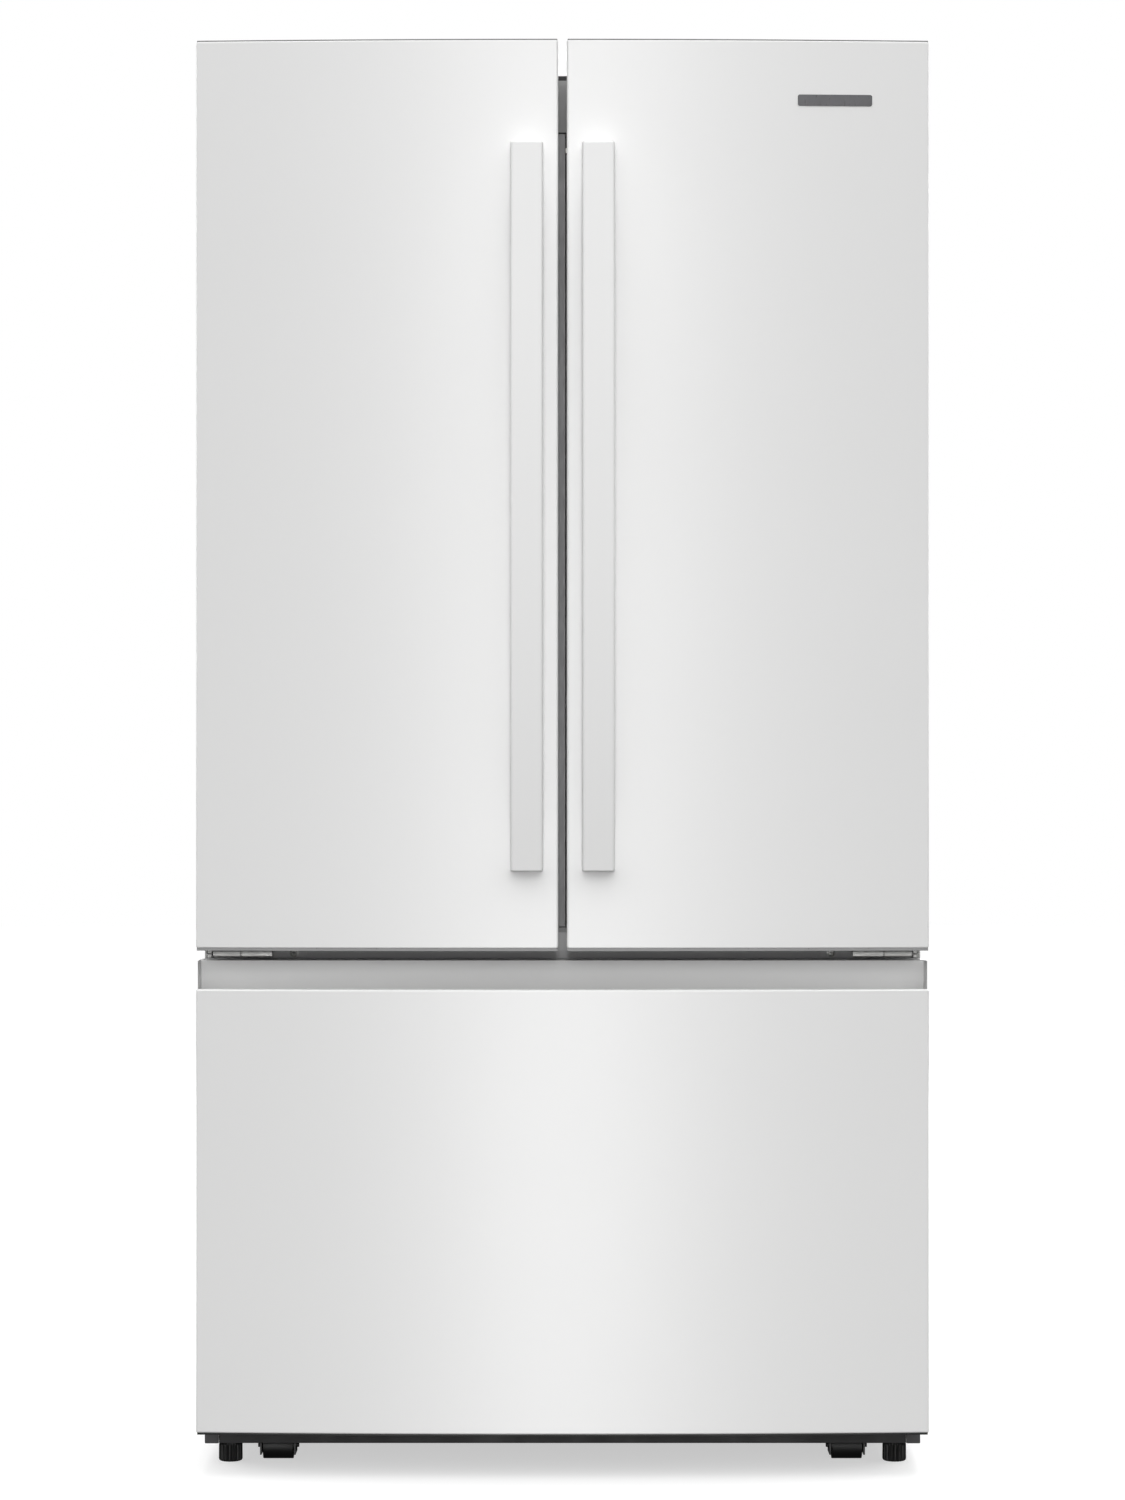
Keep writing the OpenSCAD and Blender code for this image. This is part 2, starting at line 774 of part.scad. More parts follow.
module freezer_rails() {
    color("silver") slide_member(slide_x[0]);
    color("white") for (s = [-1, 1])
        on_side(s) block([-cav_x + skim, -cav_x + 16], [cab_front + 20, 300], [384, 392]);
}

module middle_rails() {
    color("silver") slide_member(slide_x[1]);
}

module inner_rails() {
    x = -cav_x + slide_x[2];
    color("silver") slide_member(slide_x[2]);
    color("silver") for (s = [-1, 1])
        on_side(s) block([x, x + slide_t], [door_back + skim, rail_y + 12], [rail_z - 40, rail_z + 70]);
}

module freezer_basket() {
    rim_z = rail_z + rail_h + skim;
    color("whitesmoke") {
        tub([-386, 386], [-284, 190], [112, 330], 3, 18);
        for (s = [-1, 1])
            on_side(s) block([-cav_x + slide_x[2], -385], [-266, rail_y + rail_len], [rim_z, rim_z + 5]);
    }
}

module freezer_tray() {
    color("whitesmoke") {
        tub([-384, 384], [-280, 170], [400, 490], 3, 14);
        for (s = [-1, 1])
            on_side(s) block([-cav_x + 2, -383], [-276, 166], [393, 400]);
    }
}

cabinet_wrapper();
back_panel();
insulation_foam();
fridge_liner();
freezer_liner();
center_crossbar();
mullion_guide();
base_frame();
base_grille();
machine_cover();
compressor();
condenser_coil();
condenser_fan();
fan_motor();
drain_pan();
evaporator_coil();
evaporator_cover();
air_tower();
control_panel();
shelf_tracks();
shelf_frames();
shelf_glass();
top_hinges();
hinge_covers();
center_hinges();
hinge_screws();
freezer_rails();
crisper();  // crisper_left
on_side(1) crisper();  // crisper_right
foot();  // foot_left
on_side(1) foot();  // foot_right
roller(-1);  // front_roller_left
on_side(1) roller(-1);  // front_roller_right
roller(1);  // rear_roller_left
on_side(1) roller(1);  // rear_roller_right
door_skin();  // left_door_skin
door_caps();  // left_door_caps
door_foam();  // left_door_foam
left_door_liner();
door_gasket();  // left_door_gasket
handle();  // left_handle
door_bins();  // left_door_bins
on_side(1) door_skin();  // right_door_skin
on_side(1) door_caps();  // right_door_caps
on_side(1) door_foam();  // right_door_foam
on_side(1) door_liner();  // right_door_liner
on_side(1) door_gasket();  // right_door_gasket
on_side(1) handle();  // right_handle
on_side(1) door_bins();  // right_door_bins
badge();
flip_mullion();
drawer_skin();
drawer_pocket();
drawer_foam();
drawer_liner();
drawer_gasket();
freezer_basket();
freezer_tray();
middle_rails();
inner_rails();
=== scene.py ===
"""Looks of a white French door refrigerator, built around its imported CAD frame.

Shapes are drawn in mm, and become metres when they are done. Materials, lights and camera are in metres."""
import bpy
import bmesh
import json
import math
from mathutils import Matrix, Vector


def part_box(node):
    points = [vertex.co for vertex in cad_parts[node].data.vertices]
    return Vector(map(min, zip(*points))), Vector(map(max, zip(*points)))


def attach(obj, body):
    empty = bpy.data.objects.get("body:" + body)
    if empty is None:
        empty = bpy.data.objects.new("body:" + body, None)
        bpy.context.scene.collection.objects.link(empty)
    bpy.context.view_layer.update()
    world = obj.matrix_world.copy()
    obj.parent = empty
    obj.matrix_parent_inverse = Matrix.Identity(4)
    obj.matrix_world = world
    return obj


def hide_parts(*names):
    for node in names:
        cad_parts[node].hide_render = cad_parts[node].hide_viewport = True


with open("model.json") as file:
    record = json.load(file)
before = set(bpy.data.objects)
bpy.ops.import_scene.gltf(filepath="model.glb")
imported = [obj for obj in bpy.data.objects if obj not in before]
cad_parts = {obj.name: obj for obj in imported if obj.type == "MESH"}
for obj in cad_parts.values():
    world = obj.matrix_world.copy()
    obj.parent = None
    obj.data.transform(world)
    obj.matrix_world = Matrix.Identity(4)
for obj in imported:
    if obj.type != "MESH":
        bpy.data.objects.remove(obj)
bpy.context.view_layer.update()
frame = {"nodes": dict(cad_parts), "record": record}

MM = 0.001
SIDES = ((-1, "left"), (1, "right"))
body_of = {node: body for body, nodes in frame["record"]["behaviour"]["bodies"].items() for node in nodes}

# ---- Driving sizes in mm, read from the frame ----

def box_of(node):
    """The lowest and highest corner of a node."""
    return [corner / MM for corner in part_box(node)]


door_low, door_high = box_of("left_door_skin")
drawer_low, drawer_high = box_of("drawer_skin")
cab_low, cab_high = box_of("cabinet_wrapper")
half_w = -door_low.x
half_cab = cab_high.x
half_gap = -door_high.x
front_y = drawer_low.y          # the crown's foremost line
crown = 13                      # how far the middle stands ahead of the edges
edge_y = front_y + crown
door_back = door_high.y
cab_front = cab_low.y
cab_top = cab_high.z
back_y = box_of("back_panel")[1].y
skin_t = 1
liner_half_x = 403.5            # inside half width of both compartments
liner_back = 385                # and the y of their back walls
liner_t = 2


def span(side, a, b):
    """The limits in x of a stretch from a to b off the middle, on the given side."""
    return sorted((side * a, side * b))


def limits(node):
    """A node's limits in x, y and z."""
    return list(zip(*box_of(node)))


def shrunk(pair, inset):
    return (pair[0] + inset, pair[1] - inset)


def quarter(steps):
    """The angles of a quarter turn."""
    return [math.pi / 2 * i / steps for i in range(steps + 1)]


def turns(count):
    """Angles that divide a full turn."""
    return [2 * math.pi * i / count for i in range(count)]


def circle(radius, sides, centre=(0, 0)):
    return [(centre[0] + radius * math.cos(a), centre[1] + radius * math.sin(a)) for a in turns(sides)]


def ring_at(points, axis, t):
    """An outline set across an axis at t: X takes (y, z) points, Y takes (x, z), Z takes (x, y)."""
    k = "XYZ".index(axis)
    return [Vector((*p[:k], t, *p[k:])) for p in points]


def crown_y(x):
    """The front plane at x."""
    return front_y + crown * (x / half_w) ** 2


def along_crown(x0, x1, steps, behind):
    """Points (x, y) from x0 to x1, a set distance behind the front plane."""
    stops = [x0 + (x1 - x0) * i / steps for i in range(steps + 1)]
    return [(x, crown_y(x) + behind) for x in stops]


# ---- Materials ----

materials = {}


class Surface:
    """A Principled material of one colour and roughness, whose texture nodes read object coordinates."""

    def __init__(self, name, color, rough, metal=0.0, **sockets):
        self.mat = bpy.data.materials.new(name)
        self.mat.use_nodes = True
        self.nodes, self.link = self.mat.node_tree.nodes, self.mat.node_tree.links.new
        self.color, self.rough = color, rough
        self.inputs = self.nodes["Principled BSDF"].inputs
        self.inputs["Base Color"].default_value = (*color, 1.0)
        self.inputs["Roughness"].default_value = rough
        self.inputs["Metallic"].default_value = metal
        for label, value in sockets.items():
            self.inputs[label.replace("_", " ")].default_value = value
        self.where = self.place()
        materials[name] = self.mat

    def new(self, kind, source=None, **settings):
        """A node with its number inputs set, fed from source; an underscore stands for a space."""
        node = self.nodes.new(f"ShaderNode{kind}")
        for label, value in settings.items():
            node.inputs[label.replace("_", " ")].default_value = value
        if source:
            self.link(source, node.inputs["Value" if kind == "MapRange" else "Vector"])
        return node

    def place(self, scale=(1, 1, 1)):
        """Object coordinates, stretched by scale."""
        source = self.new("TexCoord").outputs["Object"]
        return self.new("Mapping", source, Scale=scale).outputs["Vector"]

    def noise(self, scale, detail=3.0, where=None):
        return self.new("TexNoise", where or self.where, Scale=scale, Detail=detail).outputs["Fac"]

    def cells(self, scale, output="Distance"):
        return self.new("TexVoronoi", self.where, Scale=scale).outputs[output]

    def spread(self, value, low, high, source):
        """value, from source's range, to the range low to high."""
        limits = {"From_Min": source[0], "From_Max": source[1], "To_Min": low, "To_Max": high}
        return self.new("MapRange", value, **limits).outputs["Result"]

    def blend(self, value, low, high):
        """Sets the base colour, by value, between low and high times the surface's own."""
        node = self.nodes.new("ShaderNodeMix")
        node.data_type = "RGBA"
        for label, factor in (("A", low), ("B", high)):
            node.inputs[label].default_value = (*(min(1.0, c * factor) for c in self.color), 1.0)
        self.link(value, node.inputs["Factor"])
        self.link(node.outputs["Result"], self.inputs["Base Color"])

    def drift(self, value, low, high, source=(0.3, 0.7)):
        """Lets the base colour wander with value, which keeps within source."""
        self.blend(self.spread(value, 0, 1, source), low, high)

    def gloss(self, value, less, more, source=(0.3, 0.7)):
        """Lets the roughness wander by less and more with value."""
        self.link(self.spread(value, self.rough - less, self.rough + more, source), self.inputs["Roughness"])

    def bump(self, *layers):
        """Stacks bump layers, each (height output, depth in metres, strength)."""
        normal = None
        for height, depth, strength in layers:
            node = self.new("Bump", Distance=depth, Strength=strength)
            self.link(height, node.inputs["Height"])
            if normal:
                self.link(normal, node.inputs["Normal"])
            normal = node.outputs["Normal"]
        self.link(normal, self.inputs["Normal"])


def painted(name, color, rough, peel=0.00002, **sockets):
    """Baked enamel: a faint orange peel, slow unevenness of gloss and a trace of tone drift."""
    paint = Surface(name, color, rough, **sockets)
    paint.drift(paint.noise(3.0, 2.0), 0.99, 1.01, (0, 1))
    paint.gloss(paint.noise(7.0, 2.0), 0.02, 0.02, (0, 1))
    paint.bump((paint.noise(420.0, 2.0), peel, 0.6))


def moulded(name, color, rough, grain=900.0, depth=0.00003, **sockets):
    """Injection moulded plastic with a fine spark-eroded grain."""
    plastic = Surface(name, color, rough, **sockets)
    plastic.drift(plastic.noise(40.0, 4.0), 0.96, 1.04)
    plastic.gloss(plastic.noise(25.0), 0.05, 0.06)
    plastic.bump((plastic.cells(grain), depth, 0.7), (plastic.noise(grain * 2.2, 2.0), depth * 0.5, 0.5))


def plated(name, color, rough, grain=(60, 60, 900), metal=1.0):
    """Rolled and plated steel: fine lines one way, cloudy plating and small stains."""
    steel = Surface(name, color, rough, metal)
    lines = steel.noise(1.0, 6.0, steel.place(grain))
    steel.drift(steel.noise(18.0, 5.0), 0.86, 1.06)
    steel.gloss(lines, 0.08, 0.12)
    steel.bump((lines, 0.00003, 0.35))


def spangled(name, color, rough, flower=95.0):
    """Hot-dip galvanised sheet with its crystal flowers."""
    sheet = Surface(name, color, rough, 0.45)
    grey = sheet.nodes.new("ShaderNodeRGBToBW")
    sheet.link(sheet.cells(flower, "Color"), grey.inputs["Color"])
    tone = grey.outputs["Val"]
    sheet.blend(tone, 0.93, 1.06)
    sheet.gloss(tone, 0.07, 0.15, (0, 1))
    sheet.bump((sheet.cells(flower), 0.00003, 0.3), (sheet.noise(700.0, 2.0), 0.00001, 0.4))


def clear(name, color, rough, ior, coverage):
    """Clear moulded plastic or glass: a tinted see-through body with gloss."""
    glass = Surface(name, color, rough, IOR=ior, Transmission_Weight=0.9, Alpha=coverage)
    glass.gloss(glass.noise(14.0), 0, 0.05)
    glass.drift(glass.noise(6.0, 2.0), 0.97, 1.0)
    glass.bump((glass.noise(30.0, 2.0), 0.0002, 0.15))


def rubbery(name, color, rough):
    """Soft vinyl seal: matt, with faint drawn lines and a little dust."""
    vinyl = Surface(name, color, rough)
    vinyl.drift(vinyl.noise(120.0, 5.0), 0.9, 1.08)
    vinyl.gloss(vinyl.noise(60.0), 0.08, 0.08)
    vinyl.bump((vinyl.noise(800.0), 0.00004, 0.5))


EVEN = (200, 200, 200)          # grain for small turned parts, alike in every direction

painted("white_enamel", (0.80, 0.80, 0.797), 0.30, Coat_Weight=0.6, Coat_Roughness=0.22)
painted("cabinet_white", (0.64, 0.64, 0.635), 0.46, peel=0.00008)
painted("white_handle", (0.84, 0.84, 0.837), 0.5, peel=0.00001)
painted("dark_enamel", (0.045, 0.045, 0.047), 0.42)
painted("bar_enamel", (0.58, 0.58, 0.583), 0.4)
painted("black_enamel", (0.012, 0.012, 0.013), 0.34)
moulded("white_trim", (0.77, 0.77, 0.765), 0.42)
# The pocket's white is dulled to light grey as painted shade, for the shade that the door above casts into the
# recess.
painted("pocket_shaded_white", (0.67, 0.67, 0.667), 0.4)
moulded("bar_grey", (0.30, 0.30, 0.305), 0.5)
# Grey for the faces seen through the gap between the doors: painted shade over the white cabinet flange there.
moulded("gap_shade_grey", (0.40, 0.40, 0.40), 0.5)
moulded("liner_white", (0.82, 0.825, 0.83), 0.36, grain=260.0, depth=0.00005)
moulded("grey_plastic", (0.20, 0.203, 0.207), 0.48)
moulded("cap_grey", (0.16, 0.16, 0.162), 0.5)
moulded("dark_plastic", (0.02, 0.02, 0.021), 0.5)
moulded("black_plastic", (0.008, 0.008, 0.008), 0.46)
moulded("fan_grey", (0.33, 0.34, 0.35), 0.5)
moulded("foam_core", (0.72, 0.62, 0.36), 0.85, grain=420.0, depth=0.0004)
rubbery("seal_grey", (0.30, 0.30, 0.305), 0.62)
plated("zinc_steel", (0.42, 0.42, 0.41), 0.38)
plated("screw_steel", (0.56, 0.56, 0.56), 0.3, (300, 300, 300))
moulded("trim_grey", (0.30, 0.30, 0.302), 0.5)
plated("dark_zinc", (0.40, 0.40, 0.39), 0.42, EVEN)
plated("bar_plate", (0.36, 0.36, 0.365), 0.5, (900, 60, 60), 0.4)
moulded("corner_shade_grey", (0.075, 0.075, 0.077), 0.5)
plated("bare_aluminium", (0.74, 0.745, 0.75), 0.34, (40, 900, 40))
plated("copper_tube", (0.66, 0.30, 0.17), 0.3, EVEN)
plated("badge_metal", (0.10, 0.10, 0.104), 0.33, (900, 60, 60))
spangled("galvanised", (0.60, 0.61, 0.62), 0.42)
clear("clear_plastic", (0.88, 0.92, 0.94), 0.07, 1.49, 0.32)
clear("crisper_clear", (0.87, 0.92, 0.94), 0.12, 1.49, 0.36)
moulded("glass_edge", (0.20, 0.42, 0.33), 0.2)
clear("shelf_glass", (0.84, 0.92, 0.88), 0.02, 1.52, 0.2)
moulded("lamp_lens", (0.9, 0.9, 0.88), 0.3, Emission_Color=(1, 0.97, 0.9, 1), Emission_Strength=0.6)


# ---- Mesh helpers ----

def add(name, data):
    """Puts a new object with this data in the scene."""
    thing = bpy.data.objects.new(name, data)
    bpy.context.scene.collection.objects.link(thing)
    return thing


def corners(x, z, radii, across=1, steps=6):
    """A rectangle with rounded corners, anticlockwise from its lower left. radii is one number, or lower
    left, lower right, upper right and upper left; across divides its two long sides."""
    if not isinstance(radii, list):
        radii = [radii] * 4
    points = []
    (x0, x1), (z0, z1) = x, z
    centres = ((x0, z0, 1, 1, 180), (x1, z0, -1, 1, 270), (x1, z1, -1, -1, 0), (x0, z1, 1, -1, 90))
    for k, ((cx, cz, sx, sz, start), r) in enumerate(zip(centres, radii)):
        for i in range(steps + 1):
            a = math.radians(start + 90 * i / steps)
            points.append((cx + sx * r + r * math.cos(a), cz + sz * r + r * math.sin(a)))
        if k in (0, 2):
            start_x = points[-1][0]
            other = centres[k + 1]
            end_x = other[0] + other[2] * radii[k + 1]
            points += [(start_x + (end_x - start_x) * i / across, cz) for i in range(1, across)]
    return points


class Shape:
    """Collects solids in one mesh, then becomes a piece that rides on a CAD body."""

    def __init__(self):
        self.bm = bmesh.new()

    def loft(self, rings, caps=True):
        """Skins closed rings of equally many points, and shuts both ends if caps is true."""
        rows = [[self.bm.verts.new(p) for p in ring] for ring in rings]
        count = len(rows[0])
        for a, b in zip(rows, rows[1:]):
            for i in range(count):
                j = (i + 1) % count
                self.bm.faces.new((a[i], a[j], b[j], b[i]))
        if caps:
            self.bm.faces.new(rows[0][::-1])
            self.bm.faces.new(rows[-1])
        return rows

    def box(self, x, y, z):
        outline = [(x[0], y[0]), (x[1], y[0]), (x[1], y[1]), (x[0], y[1])]
        return self.prism(outline, "Z", *z)

    def prism(self, outline, axis, low, high):
        """Extrudes an outline along an axis."""
        self.loft([ring_at(outline, axis, t) for t in (low, high)])
        return self

    def slab(self, a, b, radii, axis, low, high):
        """Extrudes a rounded rectangle of limits a and b."""
        return self.prism(corners(a, b, radii), axis, low, high)

    def rod(self, centre, radius, axis, low, high, sides=32):
        """A cylinder; centre is a point of its outline's plane."""
        return self.prism(circle(radius, sides, centre), axis, low, high)

    def lathe(self, profile, centre, axis="Z", sides=40):
        """Turns (radius, along) points round an axis through centre."""
        rings = [ring_at(circle(r, sides), axis, h) for r, h in profile]
        self.loft([[Vector(centre) + p for p in ring] for ring in rings])
        return self

    def hoop(self, a, b, profile, radius, axis="Y"):
        """A rounded rectangular ring of limits a and b, across an axis. profile points are (inset from
        the outline, place along the axis), in closed order."""
        rings = []
        for inset, t in profile:
            flat = corners(shrunk(a, inset), shrunk(b, inset), max(radius - inset, 0.8), 6, 5)
            rings.append(ring_at(flat, axis, t))
        self.loft(rings + rings[:1], caps=False)
        bmesh.ops.remove_doubles(self.bm, verts=self.bm.verts, dist=1e-4)
        return self

    def tub(self, x, y, z, wall, radius, taper, rim, foot=4):
        """An open-topped moulding: tapered walls, rounded foot and an outward rim inside the given limits."""
        low, top = z
        rim_z = top - 4
        side = taper + rim              # inset of the wall's outer face at the foot

        def level(inset, height):
            flat = corners(shrunk(x, inset), shrunk(y, inset), max(radius - inset, 1.5), 6, 5)
            return ring_at(flat, "Z", height)

        rows = [level(side + foot * (1 - math.sin(a)), low + foot * (1 - math.cos(a))) for a in quarter(4)]
        rows += [level(rim, rim_z), level(0, rim_z), level(0, top - 0.8), level(0.6, top)]
        rows += [level(rim + wall - 0.5, top), level(rim + wall, top - 0.6)]
        rows += [level(side + wall + foot * f, low + wall + foot * h) for f, h in ((0, 1), (0.3, 0.3), (1, 0))]
        self.loft(rows)
        return self

    def done(self, name, material, replaces=None, bevel=0.0, steps=2, angle=35.0, body="cabinet"):
        """Makes the mesh a piece on the body of the node that it replaces, or else on the given body."""
        bmesh.ops.scale(self.bm, vec=(MM, MM, MM), verts=self.bm.verts)
        return make_piece(self.bm, name, material, replaces, bevel, steps, angle, body)


def make_piece(bm, name, material, replaces, bevel, steps=2, angle=35.0, body="cabinet"):
    """A piece from a mesh in metres, its edges rounded by bevel mm."""
    bmesh.ops.recalc_face_normals(bm, faces=bm.faces)
    mesh = bpy.data.meshes.new(name)
    bm.to_mesh(mesh)
    bm.free()
    piece = add(name, mesh)
    mesh.materials.append(materials[material])
    soften(piece, bevel, steps, angle)
    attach(piece, body_of[replaces] if replaces else body)
    if replaces:
        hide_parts(replaces)
    return piece


def lofted(rings):
    """A Shape of one loft."""
    shape = Shape()
    shape.loft(rings)
    return shape


def soften(piece, bevel, steps, angle):
    """Rounds edges sharper than angle by bevel mm, or marks them sharp, and evens the normals."""
    mesh = piece.data
    mesh.polygons.foreach_set("use_smooth", [True] * len(mesh.polygons))
    if bevel:
        mod = piece.modifiers.new("edges", "BEVEL")
        mod.width = bevel * MM
        mod.segments = steps
        mod.limit_method = "ANGLE"
        mod.angle_limit = math.radians(angle)
        mod.harden_normals = True
    else:
        edges = bmesh.new()
        edges.from_mesh(mesh)
        for e in edges.edges:
            if len(e.link_faces) == 2 and e.calc_face_angle() > math.radians(angle):
                e.smooth = False
        edges.to_mesh(mesh)
        edges.free()
    mod = piece.modifiers.new("normals", "WEIGHTED_NORMAL")
    mod.keep_sharp = True
    mod.weight = 80


def refine(node, material, bevel):
    """A CAD solid of the right shape, welded and with its edges rounded, in place of its node."""
    bm = bmesh.new()
    bm.from_mesh(frame["nodes"][node].data)
    bmesh.ops.remove_doubles(bm, verts=bm.verts, dist=0.00001)
    bmesh.ops.dissolve_limit(bm, angle_limit=math.radians(0.5), verts=bm.verts, edges=bm.edges)
    make_piece(bm, f"{node}_form", material, node, bevel)


def front_sheet(name, x, z, end_y, corner_r, rim_r, replaces):
    """A folded steel front: crowned face, rounded rim and side returns to end_y(z), open at the back."""
    shape = Shape()
    across = 40                         # divisions over the width, for the crown

    def rings(inset):
        px, pz = shrunk(x, inset), shrunk(z, inset)
        outer = max(corner_r - inset, 0.3)
        rim = max(rim_r - inset, 0.2)
        out = [[Vector((u, end_y(v), v)) for u, v in corners(px, pz, outer, across)]]
        for a in quarter(5):
            d = rim * (1 - math.cos(a))
            behind = inset + rim * (1 - math.sin(a))
            flat = corners(shrunk(px, d), shrunk(pz, d), max(outer - d, 0.1), across)
            out.append([Vector((u, crown_y(u) + behind, v)) for u, v in flat])
        return out

    outside = shape.loft(rings(0.0), caps=False)
    inside = shape.loft(rings(skin_t), caps=False)
    for rows in (outside, inside):
        last = rows[-1]
        half = len(last) // 2
        low, high = last[:half], last[half:][::-1]
        for i in range(half - 1):
            shape.bm.faces.new((low[i], low[i + 1], high[i + 1], high[i]))
    a, b = outside[0], inside[0]
    for i in range(len(a)):
        j = (i + 1) % len(a)
        shape.bm.faces.new((a[i], a[j], b[j], b[i]))
    shape.done(name, "white_enamel", replaces, angle=50.0)


# ---- Stage, light and camera ----

LIGHT = {"fill": 0.02, "front": 6.8, "key": 1.12, "wing": 0.3, "side": 6.0, "back": 7.0, "floor": 0.55}
SENSOR = 36.0                   # mm, along the picture's height
LENS = 87.72                    # mm, as narrow as the photo's perspective says
EYE = (0.0, -4.893, 0.898)      # at the height of the photo's horizon


def build_camera():
    """Square to the front, as far off as the photo's perspective says."""
    camera = bpy.data.cameras.new("camera")
    camera.sensor_width = SENSOR
    camera.lens = LENS
    holder = add("camera", camera)
    holder.location = EYE
    holder.rotation_euler = (math.pi / 2, 0, 0)
    bpy.context.scene.camera = holder


def build_stage():
    """A pale floor that gives off some light of its own, so that the machine's shadow stays soft."""
    bm = bmesh.new()
    bmesh.ops.create_circle(bm, cap_ends=True, segments=96, radius=14.0)
    mesh = bpy.data.meshes.new("studio_floor")
    bm.to_mesh(mesh)
    bm.free()
    floor = add("studio_floor", mesh)
    pale = Surface("studio_floor", (0.47, 0.47, 0.47), 0.7, Emission_Color=(1, 1, 1, 1))
    pale.drift(pale.noise(2.0), 1.0, 0.48 / 0.47)
    pale.bump((pale.noise(300.0, 2.0), 0.0001, 0.2))
    pale.inputs["Emission Strength"].default_value = LIGHT["floor"]
    mesh.materials.append(materials["studio_floor"])
    for ray in ("diffuse", "glossy", "shadow"):
        setattr(floor, f"visible_{ray}", False)     # the room is dark below, so faces that look down go grey


def area_light(name, location, aim, size, radiance):
    """A softbox of size (width, height); radiance is its brightness, as a diffuse white would show it."""
    light = bpy.data.lights.new(name, "AREA")
    light.shape = "RECTANGLE"
    light.size, light.size_y = size
    light.energy = radiance * math.pi * size[0] * size[1]
    lamp = add(name, light)
    lamp.location = location
    lamp.rotation_euler = (Vector(aim) - Vector(location)).to_track_quat("-Z", "Y").to_euler()


def build_world():
    """White to the camera, and nearly dark to everything else."""
    world = bpy.data.worlds.new("studio")
    bpy.context.scene.world = world
    world.use_nodes = True
    nt = world.node_tree
    fill = nt.nodes["Background"]
    white = nt.nodes.new("ShaderNodeBackground")
    for node, strength in ((fill, LIGHT["fill"]), (white, 1.0)):
        node.inputs["Color"].default_value = (1, 1, 1, 1)
        node.inputs["Strength"].default_value = strength
    path = nt.nodes.new("ShaderNodeLightPath")
    pick = nt.nodes.new("ShaderNodeMixShader")
    nt.links.new(path.outputs["Is Camera Ray"], pick.inputs["Fac"])
    nt.links.new(fill.outputs["Background"], pick.inputs[1])
    nt.links.new(white.outputs["Background"], pick.inputs[2])
    nt.links.new(pick.outputs["Shader"], nt.nodes["World Output"].inputs["Surface"])


def build_light():
    """A tall box before the crown, dim wings, boxes for the sides and back, and a wide sun from the front."""
    front, middle, back = (0, front_y * MM, 0.9), (0, 0.1, 0.9), (0, back_y * MM, 0.9)
    area_light("front_box", (0, -5.8, 0.9), front, (0.85, 5.4), LIGHT["front"])
    for side, _ in SIDES:
        area_light(f"wing_{side + 1}", (side * 3.6, -3.0, 1.0), front, (1.6, 3.0), LIGHT["wing"])
    for side, name in SIDES:
        area_light(f"side_box_{name}", (side * 4.2, 0.8, 2.2), middle, (1.6, 2.6), LIGHT["side"])
    area_light("back_box", (0.4, 5.0, 2.4), back, (2.6, 2.6), LIGHT["back"])
    sun = bpy.data.lights.new("key", "SUN")
    sun.angle = math.radians(110)
    sun.energy = LIGHT["key"] * math.pi
    add("key", sun).rotation_euler = (math.radians(25), 0, 0)
    view = bpy.context.scene.view_settings
    view.view_transform = "Standard"
    view.look = "None"


build_camera()
build_stage()
build_world()
build_light()

# ---- Doors and drawer: fronts ----

cap_h = 1.2                     # height of an end cap that shows past the skin
lip_back = edge_y + 9           # the drawer front's top return ends here
return_y = door_back - 2        # and all the other returns end here
lip_z = drawer_high.z - 1.9     # the sheet's edge belongs to the top return above this


def door_front(side, name):
    """A door's folded sheet, and the trim strip that shows under it."""
    x = sorted((side * half_w, side * half_gap))
    front_sheet(f"{name}_door_sheet", x, (door_low.z + cap_h, door_high.z - cap_h),
                lambda z: return_y, 3, 2.2, f"{name}_door_skin")
    ends = side * (half_gap + 0.8), side * (half_w - 0.8)
    outline = along_crown(*ends, 24, 1.1) + along_crown(*ends, 24, 9)[::-1]
    trim = Shape().prism(outline, "Z", door_low.z - 1.8, door_low.z + 2)
    trim.done(f"{name}_door_bottom_trim", "trim_grey", bevel=0.3, steps=3, body=f"{name}_door")


def drawer_front():
    """The drawer's folded sheet with its lip, and the black cap along its bottom, whose black also serves as
    painted shadow under the drawer's edge.
    """
    front_sheet("drawer_sheet", (-half_w, half_w), (drawer_low.z + 1.7, drawer_high.z),
                lambda z: lip_back if z > lip_z else return_y, 2, 2.2, "drawer_skin")
    reach = half_w * 0.997
    outline = along_crown(-reach, reach, 40, 0.9) + [(reach, return_y), (-reach, return_y)]
    # The cap is a real part, and its black also stands in as painted shadow along the drawer's bottom edge.
    cap = Shape().prism(outline, "Z", drawer_low.z - 0.6, drawer_low.z + 2.4)
    cap.done("drawer_bottom_cap_and_shadow", "black_plastic", bevel=0.4, steps=3, body="freezer_drawer")


for side, name in SIDES:
    door_front(side, name)
drawer_front()


# ---- Handles ----

